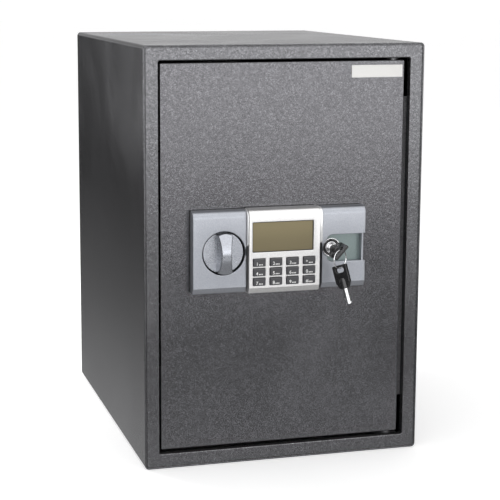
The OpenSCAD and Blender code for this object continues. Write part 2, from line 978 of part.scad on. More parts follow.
module carriage_outline() {
    reach = throw / 2;
    slack = 0.7;
    difference() {
        union() {
            pane(bolt_tail, axis_z - bolt_span / 2 - 12, -45, axis_z + bolt_span / 2 + 12, 3);
            polygon([
                [-47, axis_z + 6.5], [tail_x1, axis_z + 6.5], [tail_x1, tail_z1 - ramp_drop],
                [plunger_x - plunger_r - 0.5 + throw, tail_z1 - ramp_drop],
                [plunger_x - plunger_r - 0.5, tail_z1], [-47, tail_z1]
            ]);
        }
        pane(knob_x - shaft_r - slack, axis_z - shaft_r - slack,
             knob_x + throw + shaft_r + slack, axis_z + shaft_r + slack);
        pane(knob_x + reach - crank_pin_r - 0.5, axis_z, knob_x + reach + crank_pin_r + 0.5,
             axis_z + crank_r + crank_pin_r + slack);
    }
}

module bolt_carriage() {
    color("#a9aaae")
    difference() {
        union() {
            along_y(carriage_y0, carriage_t)
                carriage_outline();
            for (z = bolt_heights())
                translate([bolt_tail, door_back + 1, z - 11])
                    cube([tab_t, carriage_y0 - door_back, 22]);
        }
        for (z = bolt_heights())
            bar_x(bolt_y, z, bolt_tail - 1, bolt_tail + tab_t + 1, stud_r);
    }
}

module bolts() {
    color("#d4d6d9")
    for (z = bolt_heights()) {
        bar_x(bolt_y, z, bolt_tip, bolt_tail, bolt_r);
        bar_x(bolt_y, z, bolt_tail, bolt_tail + tab_t + 7, stud_r);
    }
}

module bolt_nuts() {
    color("#b9babd")
    for (z = bolt_heights())
        difference() {
            along_x(bolt_tail + tab_t, 6)
                translate([bolt_y, z])
                    circle(7.5, $fn = 6);
            bar_x(bolt_y, z, bolt_tail + tab_t - 1, bolt_tail + tab_t + 7, stud_r);
        }
}

module plunger() {
    color("#c8c9cc") {
        bar_z(plunger_x, plunger_y, plunger_z0, coil_z0 + 18, plunger_r);
        bar_z(plunger_x, plunger_y, plunger_z0 + 4, plunger_z0 + 5.5, plunger_r + 2.4);
    }
}

// Coil spring between the plunger's collar and the solenoid
module plunger_spring() {
    turns = 4;
    rings = 8;
    wire = 0.45;
    coil_r = plunger_r + 1.2;
    low = plunger_z0 + 5.5 + wire;
    high = coil_z0 - wire;
    steps = turns * rings;
    sides = 8;
    spot = function (i) [
        plunger_x + coil_r * cos(360 * i / rings),
        plunger_y + coil_r * sin(360 * i / rings),
        low + (high - low) * i / steps
    ];
    points = [
        for (i = [0 : steps], j = [0 : sides - 1])
            spot(i) + wire * [
                cos(360 * j / sides) * cos(360 * i / rings),
                cos(360 * j / sides) * sin(360 * i / rings),
                sin(360 * j / sides)
            ]
    ];
    walls = [
        for (i = [0 : steps - 1], j = [0 : sides - 1])
            [i * sides + j, i * sides + (j + 1) % sides,
             (i + 1) * sides + (j + 1) % sides, (i + 1) * sides + j]
    ];
    low_end = [[for (j = [0 : sides - 1]) sides - 1 - j]];
    high_end = [[for (j = [0 : sides - 1]) steps * sides + j]];
    color("#d4d6d9")
    polyhedron(points, concat(walls, low_end, high_end));
}

cabinet_shell();
front_frame();
back_panel();
floor_mat();
shelf_rails();
hinge_brackets();
hinge_bushes();
shelf();
shelf_mat();
door_plate();
hinge_lugs();
hinge_pins();
dead_bar();
bolt_guide();
back_cover();
screws();
battery_box();
batteries();
battery_lid();
solenoid_body();
circuit_board();
reset_button();
knob_bush();
panel_base();
panel_left();
panel_right();
keypad_housing();
trim_strips();
lcd_window();
keypad_board();
lock_cylinder();
lock_nut();
label_plate();
knob();
knob_shaft();
crank_arm();
bolt_carriage();
bolts();
bolt_nuts();
plunger();
plunger_spring();
lock_plug();
lock_cam();
key_shaft();
key_head();
key_ring();
spare_shaft();
spare_head();
key_cap(0, 0);  // key_1
key_cap(1, 0);  // key_2
key_cap(2, 0);  // key_3
key_cap(3, 0);  // key_a
key_cap(0, 1);  // key_4
key_cap(1, 1);  // key_5
key_cap(2, 1);  // key_6
key_cap(3, 1);  // key_0
key_cap(0, 2);  // key_7
key_cap(1, 2);  // key_8
key_cap(2, 2);  // key_9
key_cap(3, 2);  // key_b
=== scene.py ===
"""Digital safe: detailed pieces, finishes and studio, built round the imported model."""

import json
import logging
import math
from collections.abc import Callable, Iterable, Sequence
from dataclasses import dataclass, field
from enum import Enum

import bmesh
import bpy
from mathutils import Matrix, Vector
from mathutils.geometry import tessellate_polygon


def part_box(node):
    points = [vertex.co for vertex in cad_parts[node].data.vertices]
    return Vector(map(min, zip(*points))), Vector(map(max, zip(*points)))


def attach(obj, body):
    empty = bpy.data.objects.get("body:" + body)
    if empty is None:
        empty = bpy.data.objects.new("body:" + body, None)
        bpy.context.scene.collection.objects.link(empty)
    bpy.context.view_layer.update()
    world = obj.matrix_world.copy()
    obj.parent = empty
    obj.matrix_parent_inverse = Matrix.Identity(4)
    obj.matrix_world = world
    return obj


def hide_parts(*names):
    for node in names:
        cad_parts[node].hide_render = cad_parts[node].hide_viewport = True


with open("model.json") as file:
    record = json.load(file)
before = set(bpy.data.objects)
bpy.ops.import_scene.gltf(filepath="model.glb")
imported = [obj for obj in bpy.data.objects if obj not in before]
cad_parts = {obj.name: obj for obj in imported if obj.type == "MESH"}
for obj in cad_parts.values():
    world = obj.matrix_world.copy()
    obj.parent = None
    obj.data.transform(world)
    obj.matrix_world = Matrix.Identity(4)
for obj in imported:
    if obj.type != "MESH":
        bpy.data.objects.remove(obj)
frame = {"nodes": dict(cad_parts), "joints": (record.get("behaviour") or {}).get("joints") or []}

LOG = logging.getLogger("safe")
MM = 0.001
RUB = "rub"
RUB_ANGLE = math.radians(28)
SHARP_ANGLE = math.radians(40)
TINY = 1e-7
SHARP = 0.05 * MM
PAST = 5 * MM
BAY_CLEAR = 0.5 * MM
KEY_FLANGE = 1 * MM
SEAM_WELD = 0.005 * MM
FLOOR_DROP = 0.2 * MM
Point = tuple[float, float]
Outline = list[Point]
Colour = tuple[float, float, float]


class Axis(Enum):
    """Direction of an extrusion or of a turned part's centre line."""

    X = 0
    Y = 1
    Z = 2

    def place(self, u: float, v: float, along: float) -> Vector:
        """Turns outline coordinates and a distance along the axis into a point."""
        point = [u, v]
        point.insert(self.value, along)
        return Vector(point)

    def split(self, point: Vector) -> tuple[Point, float]:
        """Gives a point's outline coordinates and its distance along the axis."""
        rest = [point[i] for i in range(3) if i != self.value]
        return (rest[0], rest[1]), point[self.value]


# ---- Outlines ----


def arc(centre: Point, radius: float, start: float, end: float, steps: int) -> Outline:
    """Points on an arc.

    Args:
        centre: Middle of the arc.
        radius: Radius in metres.
        start: First angle in degrees.
        end: Last angle in degrees.
        steps: Number of equal steps between them.

    Returns:
        The points, both ends included.
    """
    turns = [math.radians(start + (end - start) * i / steps) for i in range(steps + 1)]
    return [(centre[0] + radius * math.cos(t), centre[1] + radius * math.sin(t)) for t in turns]


def circle(centre: Point, radius: float, steps: int = 64) -> Outline:
    """A full circle without its repeated last point."""
    return arc(centre, radius, 0, 360, steps)[:-1]


def rounded(low: Point, high: Point, radius: float, steps: int = 6) -> Outline:
    """A rectangle with round corners, anticlockwise.

    Args:
        low: Lowest corner.
        high: Highest corner.
        radius: Corner radius in metres.
        steps: Steps on each corner.

    Returns:
        The closed outline.
    """
    middles = [
        (high[0] - radius, high[1] - radius),
        (low[0] + radius, high[1] - radius),
        (low[0] + radius, low[1] + radius),
        (high[0] - radius, low[1] + radius),
    ]
    return [p for i, m in enumerate(middles) for p in arc(m, radius, 90 * i, 90 * i + 90, steps)]


def pane(low: Vector, high: Vector, axis: Axis, radius: float, trim: float = 0.0, steps: int = 6) -> Outline:
    """A box seen along an axis, as an outline with round corners.

    Args:
        low: The box's lowest corner.
        high: The box's highest corner.
        axis: The axis that it is seen along.
        radius: Corner radius in metres.
        trim: Length taken off all round, or added when below zero.
        steps: Steps on each corner.

    Returns:
        The closed outline.
    """
    (left, bottom), (right, top) = axis.split(low)[0], axis.split(high)[0]
    return rounded((left + trim, bottom + trim), (right - trim, top - trim), radius, steps)


def softened(points: Sequence[Point], radius: float, closed: bool = True, steps: int = 4) -> Outline:
    """Rounds every corner of a polygon or a profile, with a holding point on each side.

    Args:
        points: The sharp corners.
        radius: Length cut from each side of a corner, in metres.
        closed: Whether the last point joins the first.
        steps: Steps on each corner.

    Returns:
        The rounded points.
    """
    made: Outline = []
    count = len(points)
    for i, p in enumerate(points):
        if not closed and i in (0, count - 1):
            made.append(p)
            continue
        corner, before, after = Vector(p), Vector(points[i - 1]), Vector(points[(i + 1) % count])
        reach = min(radius, 0.45 * (before - corner).length, 0.45 * (after - corner).length)
        first = corner + (before - corner).normalized() * reach
        last = corner + (after - corner).normalized() * reach
        made.append(tuple(first + (first - corner) * 0.1))
        for k in range(steps + 1):
            t = k / steps
            made.append(tuple(first * (1 - t) ** 2 + corner * 2 * t * (1 - t) + last * t * t))
        made.append(tuple(last + (last - corner) * 0.1))
    return made


def area(outline: Outline) -> float:
    """Signed area, above zero when the outline runs anticlockwise."""
    pairs = zip(outline, outline[1:] + outline[:1])
    return sum(a[0] * b[1] - b[0] * a[1] for a, b in pairs) / 2


def inset(outline: Outline, distance: float) -> Outline:
    """Moves an outline to its left by a distance, with mitred corners."""
    made: Outline = []
    for i, p in enumerate(outline):
        here = Vector(p)
        a = (here - Vector(outline[i - 1])).normalized()
        b = (Vector(outline[(i + 1) % len(outline)]) - here).normalized()
        normals = Vector((-a.y, a.x)), Vector((-b.y, b.x))
        mitre = (normals[0] + normals[1]) / max(0.3, 1 + normals[0].dot(normals[1]))
        made.append(tuple(here + mitre * distance))
    return made


# ---- Mesh building ----


class Shape:
    """A mesh under construction, in metres and in the model's frame."""

    def __init__(self) -> None:
        """Starts an empty mesh."""
        self.bm = bmesh.new()

    def skin(self, rings: list[list[bmesh.types.BMVert]], mark: int, closed: bool = True) -> None:
        """Joins rings of vertices with quads.

        Args:
            rings: Rings of equal length, in order.
            mark: Material index of the faces.
            closed: Whether each ring closes on itself.
        """
        for low, high in zip(rings, rings[1:]):
            for i in range(len(low) if closed else len(low) - 1):
                j = (i + 1) % len(low)
                corners = list(dict.fromkeys([low[i], low[j], high[j], high[i]]))
                if len(corners) > 2:
                    self.bm.faces.new(corners).material_index = mark

    def slab(
        self,
        outlines: Sequence[Outline],
        axis: Axis,
        start: float,
        end: float,
        rim: float = 0.3 * MM,
        mark: int = 0,
    ) -> "Shape":
        """Adds a plate with rounded rims.

        Args:
            outlines: The outer outline, then its holes.
            axis: Direction through the plate.
            start: Lower face along the axis.
            end: Upper face along the axis.
            rim: Radius of every rim.
            mark: Material index.

        Returns:
            This shape.
        """
        loops = [o if (area(o) > 0) == (i == 0) else o[::-1] for i, o in enumerate(outlines)]
        quarter = [math.radians(30 * k) for k in range(4)]
        edge = [(rim * (1 - math.sin(t)), rim * (1 - math.cos(t))) for t in quarter]
        edge = [(1.6 * rim, 0.0), *edge, (0.0, min(1.6 * rim, (end - start) / 2.2))]
        levels = [(i, start + d) for i, d in edge] + [(i, end - d) for i, d in edge[::-1]]
        caps: dict[float, list[list[bmesh.types.BMVert]]] = {start: [], end: []}
        for loop in loops:
            rings = [
                [self.bm.verts.new(axis.place(u, v, along)) for u, v in inset(loop, step)]
                for step, along in levels
            ]
            self.skin(rings, mark)
            caps[start].append(rings[0])
            caps[end].append(rings[-1])
        for rings in caps.values():
            flat = [v for ring in rings for v in ring]
            polygons = [[Vector((*axis.split(v.co)[0], 0.0)) for v in ring] for ring in rings]
            for triangle in tessellate_polygon(polygons):
                corners = [flat[i] for i in triangle]
                if len(set(triangle)) == 3 and not self.bm.faces.get(corners):
                    self.bm.faces.new(corners).material_index = mark
        return self

    def lathe(
        self,
        profile: Sequence[Point],
        axis: Axis,
        centre: Point,
        steps: int = 64,
        closed: bool = False,
        mark: int = 0,
    ) -> "Shape":
        """Adds a turned form.

        Args:
            profile: Radius and distance along the axis of each point.
            axis: The centre line's direction.
            centre: Where the centre line crosses the outline plane.
            steps: Steps round the turn.
            closed: Whether the profile closes on itself, as for a ring.
            mark: Material index.

        Returns:
            This shape.
        """
        rings = []
        for radius, along in profile:
            if radius < TINY:
                rings.append([self.bm.verts.new(axis.place(*centre, along))] * steps)
                continue
            spots = circle(centre, radius, steps)
            rings.append([self.bm.verts.new(axis.place(u, v, along)) for u, v in spots])
        if closed:
            rings.append(rings[0])
        self.skin(rings, mark)
        return self

    def loft(self, rings: Sequence[Sequence[Vector]], mark: int = 0) -> "Shape":
        """Adds a skin through rings of points, closed at both ends.

        Args:
            rings: Rings of equal length.
            mark: Material index.

        Returns:
            This shape.
        """
        made = [[self.bm.verts.new(p) for p in ring] for ring in rings]
        self.skin(made, mark)
        for end in (made[0], made[-1]):
            self.bm.faces.new(end).material_index = mark
        return self

    def glyph(self, text: str, height: float, left: Point, front: float, mark: int) -> "Shape":
        """Adds a printed figure as a thin raised form that faces -Y.

        Args:
            text: One character.
            height: Height of the type in metres.
            left: Left end of the base line, as X and Z.
            front: Y of the printed face.
            mark: Material index.

        Returns:
            This shape.
        """
        type_curve = bpy.data.curves.new("print", "FONT")
        type_curve.body = text
        type_curve.size = height / 0.7
        type_curve.extrude = 0.03 * MM
        type_curve.offset = 0.012 * height
        carrier = bpy.data.objects.new("print", type_curve)
        mesh = bpy.data.meshes.new_from_object(carrier)
        mesh.transform(Matrix.Translation((left[0], front, left[1])) @ Matrix.Rotation(math.pi / 2, 4, "X"))
        before = len(self.bm.faces)
        self.bm.from_mesh(mesh)
        self.bm.faces.ensure_lookup_table()
        for face in self.bm.faces[before:]:
            face.material_index = mark
        bpy.data.objects.remove(carrier)
        bpy.data.meshes.remove(mesh)
        return self

    def fall_away(self, front: float, back: float, profile: Sequence[Point]) -> "Shape":
        """Bends the -Y face of a plate back by an amount that depends on the height.

        Args:
            front: Y of the flat face.
            back: Y of the plate's back, which stays.
            profile: Height and fall of each point, from the lowest up.

        Returns:
            This shape.
        """
        for z, _ in profile:
            parts = [*self.bm.verts, *self.bm.edges, *self.bm.faces]
            bmesh.ops.bisect_plane(self.bm, geom=parts, plane_co=(0, 0, z), plane_no=(0, 0, 1), dist=TINY)
        for vertex in self.bm.verts:
            z = min(max(vertex.co.z, profile[0][0]), profile[-1][0])
            low, high = next((a, b) for a, b in zip(profile, profile[1:]) if z <= b[0])
            share = (z - low[0]) / max(high[0] - low[0], 1e-9)
            fall = low[1] + (high[1] - low[1]) * share
            vertex.co.y = back + (vertex.co.y - back) * (back - front - fall) / (back - front)
        return self

    def moved(self, matrix: Matrix) -> "Shape":
        """Moves all that is built so far."""
        self.bm.transform(matrix)
        return self

    def mesh(self, name: str) -> bpy.types.Mesh:
        """Closes the work and gives the finished mesh data, shaded smooth up to an angle."""
        bmesh.ops.remove_doubles(self.bm, verts=self.bm.verts, dist=TINY)
        bmesh.ops.recalc_face_normals(self.bm, faces=self.bm.faces)
        return settled(self.bm, bpy.data.meshes.new(name))


def settled(bm: bmesh.types.BMesh, data: bpy.types.Mesh) -> bpy.types.Mesh:
    """Writes mesh data with its rub attribute, shaded smooth up to an angle.

    Args:
        bm: The working mesh, which is freed.
        data: The mesh data that receives it.

    Returns:
        The mesh data.
    """
    rub = bm.verts.layers.float.get(RUB) or bm.verts.layers.float.new(RUB)
    for vertex in bm.verts:
        bends = [edge.calc_face_angle_signed(0.0) for edge in vertex.link_edges]
        vertex[rub] = min(1.0, max(bends, default=0.0) / RUB_ANGLE)
    bm.to_mesh(data)
    bm.free()
    data.shade_smooth()
    data.set_sharp_from_angle(angle=SHARP_ANGLE)
    return data


def carve(target: bpy.types.Mesh, cutter: Shape) -> bpy.types.Mesh:
    """Cuts one closed form out of another.

    Args:
        target: The mesh that is cut.
        cutter: The form that is taken away.

    Returns:
        The cut mesh.
    """
    body = bpy.data.objects.new("body", target)
    tool = bpy.data.objects.new("tool", cutter.mesh("tool"))
    for thing in (body, tool):
        bpy.context.scene.collection.objects.link(thing)
    cut = body.modifiers.new("cut", "BOOLEAN")
    cut.object = tool
    cut.solver = "EXACT"
    cut.use_self = True
    bpy.context.view_layer.update()
    made = bpy.data.meshes.new_from_object(body.evaluated_get(bpy.context.evaluated_depsgraph_get()))
    for thing in (body, tool):
        bpy.data.objects.remove(thing)
    made.name = target.name
    bm = bmesh.new()
    bm.from_mesh(made)
    return settled(bm, made)


# ---- Shader graphs and shared effects ----


class Graph:
    """A short way to write a node tree."""

    def __init__(self, tree: bpy.types.NodeTree) -> None:
        """Wraps a node tree."""
        self.tree = tree

    def add(self, kind: str, inputs: dict | None = None, **settings: object) -> bpy.types.Node:
        """Adds a node.

        Args:
            kind: Blender's name for the node type, without ShaderNode.
            inputs: Values or output sockets, by input name or number.
            **settings: Properties of the node.

        Returns:
            The node.
        """
        node = self.tree.nodes.new(kind if kind.startswith("Node") else "ShaderNode" + kind)
        for key, value in settings.items():
            setattr(node, key, value)
        for key, value in (inputs or {}).items():
            socket = node.inputs[key]
            if isinstance(value, bpy.types.NodeSocket):
                self.tree.links.new(value, socket)
            elif isinstance(value, tuple) and len(value) == 3 and socket.type == "RGBA":
                socket.default_value = (*value, 1.0)
            else:
                socket.default_value = value
        return node

    def math(self, operation: str, *values: object) -> bpy.types.NodeSocket:
        """The result of a Math node on numbers or sockets."""
        return self.add("Math", dict(enumerate(values)), operation=operation).outputs[0]

    def mix(self, share: object, a: object, b: object) -> bpy.types.NodeSocket:
        """A colour between a and b."""
        node = self.add("Mix", {0: share, 6: a, 7: b}, data_type="RGBA")
        return node.outputs[2]

    def span(self, value: object, low: float, high: float, to: Point = (0.0, 1.0)) -> bpy.types.NodeSocket:
        """A value mapped from low..high to another range, with a soft start and end."""
        inputs = {0: value, 1: low, 2: high, 3: to[0], 4: to[1]}
        return self.add("MapRange", inputs, interpolation_type="SMOOTHSTEP").outputs[0]


    def noise(self, vector: object, scale: object, detail: float, roughness: float = 0.5,
              distortion: float = 0.0) -> bpy.types.NodeSocket:
        """Cloudy noise.

        Args:
            vector: Where it is looked up.
            scale: Lumps per metre, as a number or a socket.
            detail: Octaves.
            roughness: How strong the finer octaves are.
            distortion: How far the lumps are pulled about.

        Returns:
            The value socket.
        """
        inputs = {"Vector": vector, "Scale": scale, "Detail": detail, "Roughness": roughness,
                  "Distortion": distortion}
        return self.add("TexNoise", inputs).outputs[0]

    def blend(self, mask: object, amount: float, a: object, b: object) -> bpy.types.NodeSocket:
        """A colour that goes from a towards b by an amount where the mask is 1."""
        return self.mix(self.math("MULTIPLY", mask, amount), a, b)

    def rise(self, mask: object, amount: float, base: object) -> bpy.types.NodeSocket:
        """A base value with an amount added where the mask is 1."""
        return self.math("MULTIPLY_ADD", mask, amount, base)


class Effect(Enum):
    """Shared effects, each built once as a node group."""

    PEEL = "orange_peel"
    WEAR = "edge_wear"
    DUST = "settled_dust"
    GRAIN = "fine_grain"
    BRUSH = "brushed_lines"
    SMUDGE = "handling_marks"
    FIBRE = "felt_fibres"


@dataclass(frozen=True)
class EffectPlan:
    """What goes into a group and what comes out of it."""

    inputs: dict[str, float]
    outputs: tuple[str, ...]
    build: Callable[[Graph, dict], dict]


def peel(g: Graph, given: dict) -> dict:
    """Hammered powder coat: rounded cells under a finer ripple."""
    inputs = {"Vector": given["Vector"], "Scale": given["Scale"], "Smoothness": 0.6}
    cell = g.add("TexVoronoi", inputs, feature="SMOOTH_F1").outputs[0]
    ripple = g.noise(given["Vector"], g.math("MULTIPLY", given["Scale"], 0.55), 3.0, roughness=0.6)
    height = g.math("ADD", g.math("MULTIPLY", cell, 0.9), ripple)
    return {"Height": height, "Pits": g.span(height, 0.62, 1.15)}


def wear(g: Graph, given: dict) -> dict:
    """Convex edges, read from the rub attribute and broken up by noise."""
    curve = g.add("Attribute", attribute_name=RUB).outputs["Fac"]
    patch = g.noise(given["Vector"], given["Scale"], 4.0)
    edge = g.span(curve, 0.2, 1.0)
    return {"Mask": g.math("MULTIPLY", edge, g.span(patch, given["Cover"], 0.75))}


def dust(g: Graph, given: dict) -> dict:
    """Thin dust on faces that look up."""
    normal = g.add("SeparateXYZ", {0: g.add("NewGeometry").outputs["Normal"]}).outputs[2]
    cloud = g.noise(given["Vector"], 14.0, 6.0, roughness=0.65)
    mask = g.math("MULTIPLY", g.span(normal, 0.3, 1.0), g.span(cloud, 0.3, 0.75))
    return {"Mask": g.math("MULTIPLY", mask, given["Amount"])}


def grain(g: Graph, given: dict) -> dict:
    """Fine even speckle, such as metal flake or a moulded texture."""
    speck = g.noise(given["Vector"], given["Scale"], 2.0)
    flake = g.add("TexVoronoi", {"Vector": given["Vector"], "Scale": given["Scale"]})
    tone = g.add("SeparateColor", {0: flake.outputs["Color"]}).outputs[0]
    return {"Height": speck, "Tone": g.rise(tone, 0.5, g.math("MULTIPLY", speck, 0.5))}


def brush(g: Graph, given: dict) -> dict:
    """Long fine lines left by turning, drawing or brushing."""
    stretch = g.add("CombineXYZ", {0: given["Along X"], 1: given["Along Y"], 2: given["Along Z"]}).outputs[0]
    lines = g.add("VectorMath", {0: given["Vector"], 1: stretch}, operation="MULTIPLY").outputs[0]
    noise = g.noise(lines, 1.0, 4.0, roughness=0.7)
    return {"Height": noise, "Mask": g.span(noise, 0.3, 0.7)}


def smudge(g: Graph, given: dict) -> dict:
    """Cloudy marks left by hands and cleaning."""
    drift = g.noise(given["Vector"], given["Scale"], 5.0, distortion=0.8)
    return {"Mask": g.span(drift, 0.38, 0.7), "Drift": drift}


def fibre(g: Graph, given: dict) -> dict:
    """Needle felt: short crossed fibres over soft lumps."""
    inputs = {"Vector": given["Vector"], "Angle": 0.9}
    crossed = g.add("VectorRotate", inputs, rotation_type="Z_AXIS").outputs[0]
    threads = []
    for source, stretch in ((given["Vector"], (2600.0, 420.0, 900.0)), (crossed, (420.0, 2600.0, 900.0))):
        lines = g.add("VectorMath", {0: source, 1: stretch}, operation="MULTIPLY").outputs[0]
        threads.append(g.noise(lines, 1.0, 2.0))
    lump = g.noise(given["Vector"], 60.0, 3.0)
    pile = g.math("MAXIMUM", *threads)
    return {"Height": g.math("ADD", pile, lump), "Tone": g.math("MULTIPLY", pile, g.math("ADD", lump, 0.5))}


PLANS = {
    Effect.PEEL: EffectPlan({"Scale": 400.0}, ("Height", "Pits"), peel),
    Effect.WEAR: EffectPlan({"Scale": 60.0, "Cover": 0.45}, ("Mask",), wear),
    Effect.DUST: EffectPlan({"Amount": 0.2}, ("Mask",), dust),
    Effect.GRAIN: EffectPlan({"Scale": 1500.0}, ("Height", "Tone"), grain),
    Effect.BRUSH: EffectPlan(
        {"Along X": 60.0, "Along Y": 900.0, "Along Z": 900.0}, ("Height", "Mask"), brush),
    Effect.SMUDGE: EffectPlan({"Scale": 9.0}, ("Mask", "Drift"), smudge),
    Effect.FIBRE: EffectPlan({}, ("Height", "Tone"), fibre),
}


def effect_group(effect: Effect) -> bpy.types.NodeTree:
    """The node group of a shared effect, built the first time that it is asked for."""
    found = bpy.data.node_groups.get(effect.value)
    if found:
        return found
    plan = PLANS[effect]
    tree = bpy.data.node_groups.new(effect.value, "ShaderNodeTree")
    tree.interface.new_socket("Vector", in_out="INPUT", socket_type="NodeSocketVector")
    for name, value in plan.inputs.items():
        tree.interface.new_socket(name, in_out="INPUT", socket_type="NodeSocketFloat").default_value = value
    for name in plan.outputs:
        tree.interface.new_socket(name, in_out="OUTPUT", socket_type="NodeSocketFloat")
    g = Graph(tree)
    entry = g.add("NodeGroupInput")
    results = plan.build(g, {socket.name: socket for socket in entry.outputs if socket.name})
    g.add("NodeGroupOutput", results)
    return tree


class Recipe(Graph):
    """A material's graph: its Principled BSDF, object coordinates and shared effects."""

    def __init__(self, name: str) -> None:
        """Starts a material with an empty graph."""
        self.material = bpy.data.materials.new(name)
        self.material.use_nodes = True
        super().__init__(self.material.node_tree)
        self.tree.nodes.clear()
        self.shader = self.add("BsdfPrincipled")
        self.add("OutputMaterial", {"Surface": self.shader.outputs[0]})
        self.place = self.add("TexCoord").outputs["Object"]

    def effect(self, effect: Effect, **values: float) -> dict[str, bpy.types.NodeSocket]:
        """Places a shared effect.

        Args:
            effect: Which effect.
            **values: Its inputs, with _ for a space.

        Returns:
            Its output sockets by name.
        """
        node = self.add("Group", node_tree=effect_group(effect))
        self.tree.links.new(self.place, node.inputs["Vector"])
        for key, value in values.items():
            node.inputs[key.replace("_", " ")].default_value = value
        return {socket.name: socket for socket in node.outputs}

    def surface(self, **values: object) -> None:
        """Sets or links inputs of the Principled BSDF, with _ for a space."""
        for key, value in values.items():
            socket = self.shader.inputs[key.replace("_", " ")]
            if isinstance(value, bpy.types.NodeSocket):
                self.tree.links.new(value, socket)
            else:
                socket.default_value = (*value, 1.0) if isinstance(value, tuple) else value

    def bump(self, *layers: tuple[object, float]) -> None:
        """Stacks bumps, each a height socket and its depth in metres, into the normal."""
        normal = None
        for height, depth in layers:
            inputs = {"Height": height, "Strength": 1.0, "Distance": depth}
            if normal:
                inputs["Normal"] = normal
            normal = self.add("Bump", inputs).outputs[0]
        self.surface(Normal=normal)


# ---- Finishes ----

RUBBED_STEEL = (0.42, 0.42, 0.43)
DUST_GREY = (0.55, 0.54, 0.52)
LINT = (0.3, 0.3, 0.31)

@dataclass(frozen=True)
class Finish:
    """A named finish; each kind says how its material is mixed."""

    name: str
    base: Colour

    def material(self) -> bpy.types.Material:
        """The material, mixed the first time that it is asked for."""
        title = self.name + "_finish"
        found = bpy.data.materials.get(title)
        if found:
            return found
        recipe = Recipe(title)
        self.mix(recipe)
        return recipe.material

    def shade(self, factor: float, lift: float = 0.0) -> Colour:
        """The base colour times a factor, plus a lift, and no brighter than white."""
        return tuple(min(1.0, c * factor + lift) for c in self.base)

    def mix(self, r: Recipe) -> None:
        """Fills in the material's graph."""
        raise NotImplementedError


@dataclass(frozen=True)
class PowderCoat(Finish):
    """Metallic charcoal powder coat with a hammered skin."""

    cells: float = 420.0
    depth: float = 0.045 * MM
    metallic: float = 0.85
    roughness: float = 0.22
    dust: float = 0.12
    rubbed: float = 0.16
    grazing: Colour = (0.35, 0.35, 0.35)

    def mix(self, r: Recipe) -> None:
        """Hammered skin with metal flake, soft smudges, thin dust and rubbed edges."""
        peel_map, flake = r.effect(Effect.PEEL, Scale=self.cells), r.effect(Effect.GRAIN, Scale=2100.0)
        marks, worn = r.effect(Effect.SMUDGE, Scale=7.0), r.effect(Effect.WEAR, Scale=70.0, Cover=0.5)
        powder = r.effect(Effect.DUST, Amount=self.dust)
        deep, light = self.shade(0.5), self.shade(1.65)
        tone = r.mix(r.span(flake["Tone"], 0.25, 0.75), deep, light)
        tone = r.blend(peel_map["Pits"], 0.45, tone, deep)
        tone = r.blend(marks["Mask"], 0.12, tone, light)
        tone = r.blend(worn["Mask"], self.rubbed, tone, RUBBED_STEEL)
        tone = r.mix(powder["Mask"], tone, DUST_GREY)
        rough = r.rise(marks["Drift"], 0.12, self.roughness - 0.06)
        r.surface(Base_Color=tone, Specular_Tint=self.grazing, Roughness=r.rise(powder["Mask"], 0.3, rough),
                  Metallic=r.rise(powder["Mask"], -0.8, self.metallic))
        r.bump((peel_map["Height"], self.depth), (flake["Height"], 0.008 * MM))


@dataclass(frozen=True)
class SilverPaint(Finish):
    """Smooth metallic paint on a moulded cover."""

    metallic: float = 0.7
    roughness: float = 0.34
    flake: float = 2600.0

    def mix(self, r: Recipe) -> None:
        """Fine flake under a thin clear coat, with handling marks and rubbed edges."""
        flake, marks = r.effect(Effect.GRAIN, Scale=self.flake), r.effect(Effect.SMUDGE, Scale=28.0)
        worn = r.effect(Effect.WEAR, Scale=160.0, Cover=0.4)
        low, high = self.shade(0.86), self.shade(1.12)
        tone = r.mix(r.span(flake["Tone"], 0.2, 0.8), low, high)
        tone = r.blend(worn["Mask"], 0.4, tone, high)
        r.surface(Base_Color=tone, Metallic=self.metallic, Coat_Weight=0.25, Coat_Roughness=0.12,
                  Roughness=r.rise(marks["Mask"], 0.08, self.roughness))
        r.bump((flake["Height"], 0.006 * MM), (marks["Drift"], 0.05 * MM))


class Stroke(Enum):
    """Which way a metal's fine lines run, as noise scales along X, Y and Z."""

    ALONG_X = (40.0, 1400.0, 1400.0)
    ALONG_Y = (1400.0, 40.0, 1400.0)
    ALONG_Z = (1400.0, 1400.0, 40.0)
    CLOUDY = (260.0, 260.0, 260.0)


@dataclass(frozen=True)
class Metal(Finish):
    """Bare or plated metal."""

    roughness: float = 0.25
    stroke: Stroke = Stroke.CLOUDY
    depth: float = 0.004 * MM
    tarnish: float = 0.15

    def mix(self, r: Recipe) -> None:
        """Fine lines, a little tarnish in clouds and brighter edges."""
        x, y, z = self.stroke.value
        lines = r.effect(Effect.BRUSH, Along_X=x, Along_Y=y, Along_Z=z)
        marks, worn = r.effect(Effect.SMUDGE, Scale=55.0), r.effect(Effect.WEAR, Scale=240.0, Cover=0.35)
        tone = r.blend(marks["Mask"], self.tarnish, self.base, self.shade(0.62))
        tone = r.blend(worn["Mask"], 0.6, tone, self.shade(1.25))
        rough = r.rise(lines["Mask"], 0.1, self.roughness)
        r.surface(Base_Color=tone, Metallic=1.0, Roughness=r.rise(marks["Mask"], 0.08, rough))
        r.bump((lines["Height"], self.depth))


